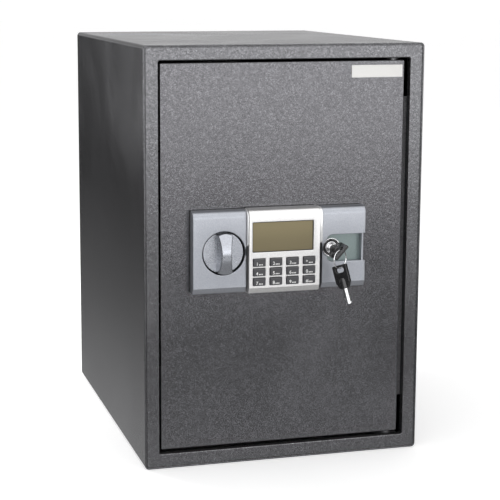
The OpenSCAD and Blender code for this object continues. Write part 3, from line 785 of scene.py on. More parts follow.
@dataclass(frozen=True)
class Plastic(Finish):
    """Moulded plastic with a spark-eroded or polished skin."""

    roughness: float = 0.35
    texture: float = 1800.0
    depth: float = 0.012 * MM
    coat: float = 0.0

    def mix(self, r: Recipe) -> None:
        """Fine moulded texture, faint clouds and paler rubbed edges."""
        skin, marks = r.effect(Effect.GRAIN, Scale=self.texture), r.effect(Effect.SMUDGE, Scale=40.0)
        worn, powder = r.effect(Effect.WEAR, Scale=200.0, Cover=0.4), r.effect(Effect.DUST, Amount=0.06)
        rubbed = self.shade(1.6, lift=0.02)
        tone = r.blend(skin["Tone"], 0.25, self.base, rubbed)
        tone = r.blend(worn["Mask"], 0.5, tone, rubbed)
        tone = r.mix(powder["Mask"], tone, (0.5, 0.5, 0.48))
        r.surface(Base_Color=tone, Coat_Weight=self.coat, Coat_Roughness=0.08,
                  Roughness=r.rise(marks["Mask"], 0.12, self.roughness))
        r.bump((skin["Height"], self.depth))


@dataclass(frozen=True)
class Felt(Finish):
    """Needle felt, dark and matt with a soft sheen."""

    def mix(self, r: Recipe) -> None:
        """Crossed fibres in two tones, with lint caught on top."""
        pile, lint = r.effect(Effect.FIBRE), r.effect(Effect.GRAIN, Scale=800.0)
        tone = r.mix(r.span(pile["Tone"], 0.35, 0.85), self.base, self.shade(2.8))
        tone = r.blend(r.span(lint["Tone"], 0.86, 0.95), 0.5, tone, LINT)
        r.surface(Base_Color=tone, Roughness=0.95, Sheen_Weight=0.35, Sheen_Roughness=0.5)
        r.bump((pile["Height"], 0.5 * MM))


@dataclass(frozen=True)
class DisplayFilm(Finish):
    """Unlit liquid-crystal display under a clear window."""

    # Heights over which the painted highlight makes the film paler towards the top.
    top: float = 0.3
    bottom: float = 0.27

    def mix(self, r: Recipe) -> None:
        """Olive reflector with a painted highlight that makes it paler towards the top, and a faint dot grid
        under gloss.
        """
        height = r.add("SeparateXYZ", {0: r.place}).outputs[2]
        marks, speck = r.effect(Effect.SMUDGE, Scale=30.0), r.effect(Effect.GRAIN, Scale=3200.0)
        # Painted highlight: the film's colour is blended towards a paler olive from the bottom height to the
        # top height.
        tone = r.mix(r.span(height, self.bottom, self.top), self.base, self.shade(1.32))
        tone = r.blend(speck["Tone"], 0.10, tone, (0.08, 0.08, 0.05))
        r.surface(Base_Color=tone, Roughness=r.rise(marks["Mask"], 0.06, 0.28),
                  Coat_Weight=0.5, Coat_Roughness=0.06, Metallic=0.15)
        r.bump((marks["Drift"], 0.03 * MM))


CABINET = PowderCoat("cabinet_paint", (0.105, 0.105, 0.109))
FRONT = PowderCoat("frame_paint", (0.115, 0.115, 0.12), cells=400.0)
DOOR = PowderCoat("door_paint", (0.11, 0.109, 0.115), cells=430.0)
INNER = PowderCoat("inner_paint", (0.15, 0.15, 0.156), cells=600.0, metallic=0.35, roughness=0.42)
COVER = SilverPaint("cover_paint", (0.31, 0.323, 0.352), roughness=0.32)
KNOB = SilverPaint("knob_paint", (0.33, 0.343, 0.372), metallic=0.85, roughness=0.24)
HOUSING = SilverPaint("housing_silver", (0.62, 0.615, 0.61), metallic=0.75, roughness=0.28, flake=3200.0)
RECESS = SilverPaint("recess_lacquer", (0.20, 0.25, 0.245), metallic=0.4, roughness=0.3)
CHROME = SilverPaint("trim_chrome", (0.90, 0.905, 0.91), metallic=0.5, roughness=0.18)
BRIGHT = Metal("bright_steel", (0.80, 0.80, 0.81), roughness=0.13, stroke=Stroke.CLOUDY)
ZINC = Metal("zinc_steel", (0.62, 0.63, 0.64), roughness=0.34, depth=0.01 * MM, tarnish=0.35)
BRASS = Metal("brass", (0.74, 0.55, 0.25), roughness=0.28, tarnish=0.4)
# Black plastic of the key heads, also used as painted shade on the lock barrel's trough floor.
BLACK_AND_SHADE = Plastic("black_plastic", (0.012, 0.012, 0.013), roughness=0.22, coat=0.4)
# Black plastic of the base, lid and battery box, also used as painted shade on the knob well's wall.
DARK_AND_SHADE = Plastic("panel_black_and_shade", (0.014, 0.014, 0.015), roughness=0.5)
KEYCAP = Plastic("key_plastic", (0.035, 0.035, 0.039), roughness=0.3, coat=0.25)
INK = Plastic("key_print", (0.82, 0.82, 0.80), roughness=0.5)
LABEL = Plastic("label_white", (0.80, 0.79, 0.77), roughness=0.38, depth=0.02 * MM)
RED = Plastic("button_red", (0.50, 0.03, 0.04), roughness=0.3, coat=0.3)
WRAP = Plastic("battery_wrap", (0.06, 0.20, 0.11), roughness=0.25, coat=0.6)
BOARD = Plastic("circuit_green", (0.03, 0.14, 0.06), roughness=0.35, coat=0.3)
FELT = Felt("felt", (0.022, 0.022, 0.025))
DISPLAY = DisplayFilm("lcd_film", (0.160, 0.130, 0.062))


# ---- Pieces ----


def spot(node: str) -> tuple[Vector, Vector]:
    """Lowest and highest corner of a CAD node."""
    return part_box(node)


def anchor(joint: str) -> Vector:
    """The point that a hinge joint turns about."""
    return Vector(next(j for j in frame["joints"] if j["name"] == joint)["pos_m"])


def turned(degrees: float, axis: str) -> Matrix:
    """A rotation about the X, Y or Z axis."""
    return Matrix.Rotation(math.radians(degrees), 4, axis)


def put(
    name: str,
    made: Shape | bpy.types.Mesh,
    body: str,
    finishes: Finish | Sequence[Finish],
    stands_for: Sequence[str] = (),
) -> bpy.types.Object:
    """Turns a shape into a piece that rides on a body.

    Args:
        name: The piece's name.
        made: Its shape or finished mesh.
        body: The CAD body that it moves with.
        finishes: One finish, or one for each material index.
        stands_for: CAD nodes that it replaces.

    Returns:
        The piece.
    """
    data = made.mesh(name) if isinstance(made, Shape) else made
    several = [finishes] if isinstance(finishes, Finish) else list(finishes)
    for finish in several:
        data.materials.append(finish.material())
    piece = bpy.data.objects.new(name, data)
    bpy.context.scene.collection.objects.link(piece)
    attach(piece, body)
    if stands_for:
        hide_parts(*stands_for)
    LOG.info("%s on %s: %d faces", name, body, len(data.polygons))
    return piece


@dataclass
class CabinetBody:
    """Wrapped cabinet, its front frame, back panel, shelf and felt mats."""

    wall: float = 2 * MM
    bend: float = 5 * MM
    rim: float = 0.6 * MM
    frame_rim: float = 0.8 * MM
    anchor_radius: float = 6 * MM
    anchor_spread: Point = (110 * MM, 130 * MM)
    back_anchor: Point = (100 * MM, 400 * MM)
    mat_clear: float = 14 * MM
    low: Vector = field(default_factory=lambda: spot("cabinet_shell")[0])
    high: Vector = field(default_factory=lambda: spot("cabinet_shell")[1])

    def build(self) -> None:
        """Makes every piece of the cabinet."""
        self.wrap()
        self.front()
        self.back()
        self.shelf()
        self.mats()

    def face(self, inward: float) -> Outline:
        """The cabinet's front outline, moved inward."""
        return pane(self.low, self.high, Axis.Y, max(self.bend - inward, 0.5 * MM), inward, 10)

    def wrap(self) -> None:
        """Sheet bent round all four sides, with the floor's anchor holes."""
        tube = Shape().slab([self.face(0), self.face(self.wall)], Axis.Y, self.low.y, self.high.y, self.rim)
        holes = Shape()
        for x in (-self.anchor_spread[0], self.anchor_spread[0]):
            for y in (-self.anchor_spread[1], self.anchor_spread[1]):
                reach = self.low.z - self.wall, self.low.z + 2 * self.wall
                holes.slab([circle((x, y), self.anchor_radius, 48)], Axis.Z, *reach, rim=0.01 * MM)
        data = carve(tube.mesh("cabinet_wrap"), holes)
        put("cabinet_wrap", data, "cabinet", CABINET, ["cabinet_shell"])

    def front(self) -> None:
        """Face plate inside the wrap, and the flange turned back round the opening."""
        low, high = spot("front_frame")
        width = 18 * MM
        left, right = self.low.x + width, self.high.x - width
        bottom, top = self.low.z + width, self.high.z - width
        opening = rounded((left, bottom), (right, top), 2 * MM, 6)
        seam = self.wall + 0.6 * MM
        plate = Shape().slab([self.face(seam), opening], Axis.Y, low.y, low.y + self.wall, self.frame_rim)
        outer = rounded((left - self.wall, bottom - self.wall), (right + self.wall, top + self.wall), 4 * MM)
        plate.slab([outer, opening], Axis.Y, low.y + self.wall / 2, high.y, 0.3 * MM)
        plate.slab([self.face(self.wall - 0.05 * MM), self.face(seam + 2 * MM)], Axis.Y,
                   low.y + 0.9 * MM, low.y + self.wall, 0.1 * MM)
        put("front_face", plate, "cabinet", FRONT, ["front_frame"])

    def back(self) -> None:
        """Back sheet set inside the wrap, with two anchor holes and a weld bead round it."""
        low, high = spot("back_panel")
        x, z = self.back_anchor
        holes = [circle((side * x, z), self.anchor_radius, 48) for side in (-1, 1)]
        outline = self.face(self.wall + 0.1 * MM)
        sheet = Shape().slab([outline, *holes], Axis.Y, low.y, high.y - 0.4 * MM, 0.3 * MM)
        sheet.slab([self.face(self.wall - 0.2 * MM), self.face(self.wall + 1.6 * MM)], Axis.Y,
                   high.y - 1.2 * MM, high.y - 0.1 * MM, 0.5 * MM)
        put("back_sheet", sheet, "cabinet", CABINET, ["back_panel"])

    def shelf(self) -> None:
        """Bent shelf: top sheet with lips turned down in front and behind."""
        low, high = spot("shelf")
        top = 1.5 * MM
        lip = 17 * MM
        tray = Shape().slab([pane(low, high, Axis.Z, 2 * MM)], Axis.Z, high.z - top, high.z, 0.5 * MM)
        for edge in (low.y, high.y - top):
            ends = rounded((low.x + lip, low.z), (high.x - lip, high.z - 0.4 * MM), 2 * MM)
            tray.slab([ends], Axis.Y, edge, edge + top, 0.4 * MM)
        put("shelf_tray", tray, "shelf", INNER, ["shelf"])

    def mats(self) -> None:
        """Felt on the floor, with round cut-outs at the anchors, and felt on the shelf."""
        low, high = spot("floor_mat")
        holes = [
            circle((sx * self.anchor_spread[0], sy * self.anchor_spread[1]), self.mat_clear, 48)
            for sx in (-1, 1)
            for sy in (-1, 1)
        ]
        edge = pane(low, high, Axis.Z, 3 * MM)
        floor = Shape().slab([edge, *holes], Axis.Z, low.z, high.z, 1.1 * MM)
        piece = put("floor_felt", floor, "cabinet", FELT, ["floor_mat"])
        low, high = spot("shelf_mat")
        top = Shape().slab([pane(low, high, Axis.Z, 3 * MM)], Axis.Z, low.z, high.z, 0.8 * MM)
        piece = put("shelf_felt", top, "shelf", FELT, ["shelf_mat"])


@dataclass
class DoorLeaf:
    """Door plate with its label, and the lock case, screws and bolts behind it."""

    rim: float = 1.1 * MM
    flange: float = 12 * MM
    sheet: float = 1.2 * MM
    screw_radius: float = 3.6 * MM
    low: Vector = field(default_factory=lambda: spot("door_plate")[0])
    high: Vector = field(default_factory=lambda: spot("door_plate")[1])

    def build(self) -> None:
        """Makes every piece that the door carries, apart from its front panel."""
        self.plate()
        self.label()
        self.case()
        self.battery_bay()
        self.screws()
        self.bolts()
        self.reset()

    def plate(self) -> None:
        """The door's thick plate with rounded edges."""
        outline = pane(self.low, self.high, Axis.Y, 2 * MM, steps=8)
        leaf = Shape().slab([outline], Axis.Y, self.low.y, self.high.y, self.rim)
        put("door_leaf", leaf, "door", DOOR, ["door_plate"])

    def label(self) -> None:
        """Blank plate in the door's upper corner, with a raised border."""
        low, high = spot("label_plate")
        outer = pane(low, high, Axis.Y, 1 * MM)
        inner = pane(low, high, Axis.Y, 0.6 * MM, 0.9 * MM)
        plate = Shape().slab([outer, inner], Axis.Y, low.y, high.y, 0.25 * MM)
        plate.slab([inset(outer, 0.4 * MM)], Axis.Y, low.y + 0.18 * MM, high.y, 0.1 * MM)
        put("label_blank", plate, "door", LABEL, ["label_plate"])

    def case(self) -> None:
        """Hollow cover over the lockwork, with a flange, openings and the lid's rails."""
        low, high = spot("back_cover")
        back = spot("battery_lid")[0].y - 0.1 * MM
        box_low, box_high = low.z + self.flange, high.z - self.flange
        outline = rounded((low.x, box_low), (high.x, box_high), 2.6 * MM, 5)
        shell = Shape().slab([outline], Axis.Y, low.y, back, 2.2 * MM)
        shell.slab([pane(low, high, Axis.Y, 3 * MM)], Axis.Y, low.y, low.y + self.sheet)
        data = shell.mesh("lock_case")
        bay_low, bay_high = spot("battery_box")
        cuts = Shape().slab([inset(outline, self.sheet)], Axis.Y, low.y - PAST, back - self.sheet, 1 * MM)
        bay = pane(bay_low, bay_high, Axis.Y, 1 * MM, -BAY_CLEAR)
        cuts.slab([bay], Axis.Y, bay_low.y - BAY_CLEAR, back + PAST, SHARP)
        pin_low, pin_high = spot("reset_button")
        middle = ((pin_low.x + pin_high.x) / 2, (pin_low.z + pin_high.z) / 2)
        cuts.slab([circle(middle, 4.4 * MM)], Axis.Y, back - 8 * MM, back + PAST, SHARP)
        for y, z, radius in self.bolt_lines():
            cuts.slab([circle((y, z), radius + 1 * MM)], Axis.X, low.x - PAST, low.x + 40 * MM, SHARP)
        data = carve(data, cuts)
        put("lock_case", data, "door", INNER, ["back_cover"])
        self.rails(back)

    def rails(self, back: float) -> None:
        """Two hooked rails that the battery lid slides under."""
        lid_low, lid_high = spot("battery_lid")
        travel = 70 * MM
        rails = Shape()
        for side, edge in ((-1, lid_low.z), (1, lid_high.z)):
            step = [(back, 4), (back + 3.3 * MM, 4), (back + 3.3 * MM, -1), (back + 2.1 * MM, -1),
                    (back + 2.1 * MM, 0.4), (back, 0.4)]
            hook = [(y, edge + side * reach * MM) for y, reach in step]
            section = softened(hook, 0.35 * MM, steps=2)
            rails.slab([section], Axis.X, lid_low.x - travel, lid_high.x, 0.15 * MM)
        put("lid_rails", rails, "door", INNER)

    def bolt_lines(self) -> list[tuple[float, float, float]]:
        """Y, Z and radius of the two locking bolts."""
        low, high = spot("bolts")
        radius = (high.y - low.y) / 2
        middle = (low.y + high.y) / 2
        return [(middle, low.z + radius, radius), (middle, high.z - radius, radius)]

    def battery_bay(self) -> None:
        """Four cells in their tray, and the ribbed lid over them."""
        low, high = spot("batteries")
        radius = (high.y - low.y) / 2
        pitch = (high.z - low.z - 2 * radius) / 3
        cells = Shape()
        for i in range(4):
            z = low.z + radius + i * pitch
            flip = 1 if i % 2 else -1
            middle = (low.x + high.x) / 2
            half = (high.x - low.x) / 2
            steps = [(0, -half), (0.93, -half), (1, -half + 0.6 * MM), (1, half - 2.2 * MM),
                     (0.9, half - 1.2 * MM), (0.38, half - 1.2 * MM), (0.36, half), (0, half)]
            profile = softened([(r * radius, middle + flip * a) for r, a in steps], 0.3 * MM, closed=False)
            cells.lathe(profile, Axis.X, (low.y + radius, z), 40)
            band = [(radius * 1.004, middle + flip * a) for a in (half - 12 * MM, half - 3 * MM)]
            cells.lathe([(radius * 0.9, band[0][1]), *band, (radius * 0.9, band[1][1])],
                        Axis.X, (low.y + radius, z), 40, mark=1)
        put("battery_cells", cells, "door", [WRAP, BRASS], ["batteries"])
        low, high = spot("battery_lid")
        lid = Shape().slab([pane(low, high, Axis.Y, 1.2 * MM)], Axis.Y, low.y, low.y + 1.8 * MM, 0.4 * MM)
        for i in range(5):
            x = high.x - 20 * MM + 3 * MM * i
            rib = rounded((x, low.z + 22 * MM), (x + 1.3 * MM, high.z - 22 * MM), 0.6 * MM)
            lid.slab([rib], Axis.Y, low.y + 1.4 * MM, high.y, 0.35 * MM)
        put("bay_lid", lid, "battery_lid", DARK_AND_SHADE, ["battery_lid"])

    def screws(self) -> None:
        """Four pan heads with crossed slots, at the corners of the lock case's flanges."""
        low, high = spot("screws")
        case_low, case_high = spot("back_cover")
        seat = case_low.y + self.sheet
        radius = self.screw_radius
        heads, cross = Shape(), Shape()
        dome = [(0, seat + 2.4 * MM), (radius * 0.55, seat + 2.25 * MM), (radius * 0.9, seat + 1.5 * MM),
                (radius, seat + 0.5 * MM), (radius, seat), (0, seat)]
        for x in (low.x + radius, high.x - radius):
            for z in (case_low.z + self.flange / 2, case_high.z - self.flange / 2):
                heads.lathe(softened(dome, 0.4 * MM, closed=False), Axis.Y, (x, z), 32)
                for wide, tall in ((2.0, 0.45), (0.45, 2.0)):
                    bar = rounded((x - wide * MM, z - tall * MM), (x + wide * MM, z + tall * MM), 0.2 * MM, 2)
                    cross.slab([bar], Axis.Y, seat + 1.1 * MM, seat + 4 * MM, SHARP)
        data = carve(heads.mesh("case_screws"), cross)
        put("case_screws", data, "door", ZINC, ["screws"])

    def bolts(self) -> None:
        """Two turned bolts with chamfered ends and threaded studs."""
        low, high = spot("bolts")
        shank_end = spot("bolt_carriage")[0].x
        rods = Shape()
        for y, z, radius in self.bolt_lines():
            profile = [(0, low.x), (radius - 1.2 * MM, low.x), (radius, low.x + 1.2 * MM),
                       (radius, shank_end - 0.6 * MM), (radius - 0.5 * MM, shank_end), (4 * MM, shank_end),
                       (4 * MM, high.x - 0.7 * MM), (3.3 * MM, high.x), (0, high.x)]
            rods.lathe(softened(profile, 0.3 * MM, closed=False, steps=2), Axis.X, (y, z), 64)
        put("locking_bolts", rods, "boltwork", BRIGHT, ["bolts"])

    def reset(self) -> None:
        """Red push button with a domed end and a collar."""
        low, high = spot("reset_button")
        radius, collar = 4 * MM, 6 * MM
        middle = ((low.x + high.x) / 2, (low.z + high.z) / 2)
        lip = high.y - 3 * MM - 3.1 * MM
        profile = [(0, low.y), (radius, low.y), (radius, lip), (collar, lip), (collar, lip + 1.6 * MM),
                   (radius, lip + 1.6 * MM), (radius, high.y - 0.3 * MM), (radius * 0.6, high.y), (0, high.y)]
        pin = Shape().lathe(softened(profile, 0.5 * MM, closed=False), Axis.Y, middle, 40)
        put("reset_pin", pin, "reset_button", RED, ["reset_button"])


@dataclass
class FrontPanel:
    """Base, two painted covers, chrome strips, keypad housing and display."""

    nose: float = 9 * MM
    low_height: float = 7 * MM
    low_fall: float = 3 * MM
    well: float = 26.4 * MM
    key_gap: float = 0.35 * MM
    recess_floor: float = 8.5 * MM
    recess_half: float = 16.7 * MM
    base_low: Vector = field(default_factory=lambda: spot("panel_base")[0])
    base_high: Vector = field(default_factory=lambda: spot("panel_base")[1])

    def build(self) -> None:
        """Makes the fixed pieces of the front panel."""
        self.base()
        self.left_cover()
        self.right_cover()
        self.housing()
        self.strips()
        self.display()

    def fall(self, low: float, high: float) -> list[Point]:
        """How far a cover's face falls away at each height.

        Args:
            low: Lowest height of the cover.
            high: Highest height of the cover.

        Returns:
            Height and fall, from the lowest up.
        """
        foot = [(low, self.low_fall + 1.6 * MM), (low + 0.5 * MM, self.low_fall + 0.5 * MM),
                (low + 1.3 * MM, self.low_fall), (low + self.low_height - 0.7 * MM, 0.75 * MM),
                (low + self.low_height - 0.2 * MM, 0.45 * MM), (low + self.low_height, 0.0)]
        turns = [math.radians(90 * i / 12) for i in range(13)]
        crown = [(high - self.nose + self.nose * math.sin(t), self.nose * (1 - math.cos(t))) for t in turns]
        return foot + crown

    def base(self) -> None:
        """Black plate that the covers clip to."""
        low, high = self.base_low, self.base_high
        plate = Shape().slab([pane(low, high, Axis.Y, 1.5 * MM)], Axis.Y, low.y, high.y, 0.4 * MM)
        put("panel_plate", plate, "door", DARK_AND_SHADE, ["panel_base"])

    def left_cover(self) -> None:
        """Cover with the round well of the knob; the well's wall and the ring behind it are painted black as
        painted shade.
        """
        low, high = spot("panel_left")
        knob = anchor("knob_turn")
        holes = [circle((knob.x, knob.z), self.well, 96)]
        cover = Shape().slab([pane(low, high, Axis.Y, 0.9 * MM, steps=4), *holes],
                             Axis.Y, low.y, high.y, 0.7 * MM)
        cover.fall_away(low.y, high.y, self.fall(low.z, high.z))
        # Painted shade: the well's wall and a ring behind it are black, standing for the shadow round the
        # sunken knob.
        cover.lathe([(self.well, low.y + 1.2 * MM), (self.well, high.y), (self.well - 4 * MM, high.y)],
                    Axis.Y, (knob.x, knob.z), 96, mark=1)
        put("left_cover", cover, "door", [COVER, DARK_AND_SHADE], ["panel_left"])

    def right_cover(self) -> None:
        """Cover with the lock's recess and a notch in its right edge."""
        low, high = spot("panel_right")
        lock = anchor("plug_turn")
        half = self.recess_half
        wall = high.x - 5 * MM
        notch = high.x - 2.5 * MM
        step = half + 0.3 * MM
        edge = softened(
            [(low.x, low.z), (high.x, low.z), (high.x, lock.z - step), (notch, lock.z - step),
             (notch, lock.z + step), (high.x, lock.z + step), (high.x, high.z), (low.x, high.z)],
            0.8 * MM, steps=3)
        pocket = self.pocket(lock, wall, half)
        cover = Shape().slab([edge, pocket], Axis.Y, low.y, high.y, 0.6 * MM)
        cover.fall_away(low.y, high.y, self.fall(low.z, high.z))
        floor = low.y + self.recess_floor
        cover.slab([inset(pocket, -1.0 * MM)], Axis.Y, floor, floor + 1.5 * MM, SHARP, mark=1)
        put("right_cover", cover, "door", [COVER, RECESS], ["panel_right"])

    def pocket(self, lock: Vector, wall: float, half: float) -> Outline:
        """Outline of the recess: round at the lock, square at the right.

        Args:
            lock: A point on the lock's axis.
            wall: X of the recess's right wall.
            half: Half of the recess's height.

        Returns:
            The closed outline, anticlockwise.
        """
        ring = 13 * MM
        corner = 10.5 * MM
        left = arc((lock.x + 0.5 * MM, lock.z), ring, 125, 235, 18)
        upper = arc((lock.x + 1 * MM, lock.z + half - corner), corner, 90, 138, 6)
        lower = arc((lock.x + 1 * MM, lock.z - half + corner), corner, 222, 270, 6)
        right = softened([(wall, lock.z - half), (wall, lock.z + half)], 0.6 * MM, closed=False)
        return [*right, *upper, *left, *lower]

    def housing(self) -> None:
        """Keypad housing with the display opening and twelve key openings."""
        low, high = spot("keypad_housing")
        window_low, window_high = spot("lcd_window")
        lap = 1.6 * MM
        holes = [pane(window_low, window_high, Axis.Y, 1.2 * MM, lap, 4)]
        for name in KEY_NAMES:
            key_low, key_high = spot(name)
            holes.append(pane(key_low, key_high, Axis.Y, 1 * MM, KEY_FLANGE - self.key_gap, 3))
        face = Shape().slab([pane(low, high, Axis.Y, 1.4 * MM, steps=5), *holes],
                            Axis.Y, low.y, high.y, 0.45 * MM)
        face.fall_away(low.y, high.y, self.fall(low.z, high.z))
        put("keypad_face", face, "door", HOUSING, ["keypad_housing"])

    def strips(self) -> None:
        """Chrome strips beside the housing, round at both ends."""
        low, high = spot("trim_strips")
        housing_low, housing_high = spot("keypad_housing")
        gaps = [(spot("panel_left")[1].x, housing_low.x), (housing_high.x, spot("panel_right")[0].x)]
        foot = 4 * MM
        side = [*arc((low.y + self.nose, high.z - self.nose), self.nose, 90, 180, 12),
                *arc((low.y + foot, low.z + foot), foot, 180, 270, 8), (high.y, low.z), (high.y, high.z)]
        strips = Shape()
        for i, (left, right) in enumerate(gaps):
            before, after = (0.1 * MM, 0.35 * MM) if i == 0 else (0.45 * MM, 1.3 * MM)
            strips.slab([side], Axis.X, left + before, right - after, 0.15 * MM)
        put("chrome_strips", strips, "door", CHROME, ["trim_strips"])

    def display(self) -> None:
        """Display film, with a black gasket round it behind the housing's lip."""
        low, high = spot("lcd_window")
        film = Shape().slab([pane(low, high, Axis.Y, 1 * MM)], Axis.Y, low.y, high.y, 0.2 * MM)
        put("display_pane", film, "door", DISPLAY, ["lcd_window"])
        lap, strip = 1.4 * MM, 2.3 * MM
        outer, inner = pane(low, high, Axis.Y, 1.2 * MM, lap), pane(low, high, Axis.Y, 0.8 * MM, strip)
        gasket = Shape().slab([outer, inner], Axis.Y, low.y - 0.7 * MM, low.y + 0.1 * MM, 0.15 * MM)
        put("display_gasket", gasket, "door", DARK_AND_SHADE)


KEY_NAMES = ["key_" + sign for sign in "123a4560789b"]


@dataclass
class KeyPad:
    """Twelve key caps with printed figures."""

    crown: float = 0.55 * MM
    figure: float = 3.9 * MM
    dash: Point = (1.1 * MM, 1.5 * MM)

    def build(self) -> None:
        """Makes each cap on its own body."""
        for name in KEY_NAMES:
            self.cap(name, {"a": "*", "b": "#"}.get(name[-1], name[-1]))

    def cap(self, node: str, sign: str) -> None:
        """One cap: rounded, printed low on its face.

        Args:
            node: The CAD node that it stands for.
            sign: The figure printed on it.
        """
        low, high = spot(node)
        x0, z0 = low.x + KEY_FLANGE, low.z + KEY_FLANGE
        top = pane(low, high, Axis.Y, 0.9 * MM, KEY_FLANGE, 5)
        cap = Shape().slab([top], Axis.Y, low.y, high.y, self.crown)
        back = low.y + 4.3 * MM
        cap.slab([pane(low, high, Axis.Y, 0.8 * MM, steps=3)], Axis.Y, back, back + 1.2 * MM, 0.2 * MM)
        face = low.y - 0.012 * MM
        base = z0 + 1.35 * MM
        cap.glyph(sign, self.figure, (x0 + 2.9 * MM, base), face, 1)
        for i in range(3):
            x = x0 + 6.6 * MM + i * 1.75 * MM
            bar = rounded((x, base), (x + self.dash[0], base + self.dash[1]), 0.25 * MM, 2)
            cap.slab([bar], Axis.Y, face - 0.02 * MM, low.y + 0.1 * MM, 0.02 * MM, mark=1)
        put("cap" + node[3:], cap, "button_" + node[-1], [KEYCAP, INK], [node])


@dataclass
class BoltKnob:
    """Round knob with an hourglass grip ridge."""

    waist: float = 7 * MM
    side_radius: float = 90 * MM
    crown_radius: float = 45 * MM
    edge: float = 1.5 * MM
    sink: float = 3.5 * MM
    rows: int = 72

    def build(self) -> None:
        """Makes the disc and the ridge as one piece."""
        low, high = spot("knob")
        axis = anchor("knob_turn")
        centre = (axis.x, axis.z)
        radius = (high.x - low.x) / 2
        face = spot("panel_left")[0].y + self.sink
        profile = [(0, face), (radius, face), (radius, high.y), (0, high.y)]
        knob = Shape().lathe(softened(profile, 0.7 * MM, closed=False), Axis.Y, centre, 96)
        knob.loft([self.section(t, axis, low.y, face, radius - 0.5 * MM) for t in self.turns()])
        put("bolt_knob", knob, "knob", KNOB, ["knob"])

    def turns(self) -> Iterable[float]:
        """Angles that put the rows close together near both ends of the ridge."""
        return [math.radians(-89 + 178 * i / self.rows) for i in range(self.rows + 1)]

    def section(self, turn: float, axis: Vector, crest: float, face: float, reach: float) -> list[Vector]:
        """One cross-section of the ridge.

        Args:
            turn: Place along the ridge as an angle.
            axis: A point on the knob's axis.
            crest: Y of the ridge's highest point.
            face: Y of the disc.
            reach: Radius that the ridge ends at.

        Returns:
            A ring of points.
        """
        z = reach * math.sin(turn)
        flare = self.waist + self.side_radius - math.sqrt(self.side_radius**2 - z * z)
        half = min(flare, math.sqrt(reach**2 - z * z))
        top = crest + self.crown_radius - math.sqrt(self.crown_radius**2 - z * z)
        lean = 0.9 * MM * min(1.0, half / self.waist)
        foot = face + 0.6 * MM
        corners = [(-half, foot), (-half + lean, top), (half - lean, top), (half, foot)]
        ring = softened(corners, min(self.edge, 0.4 * half), closed=False, steps=5)
        return [Vector((axis.x + u, v, axis.z + z)) for u, v in ring]


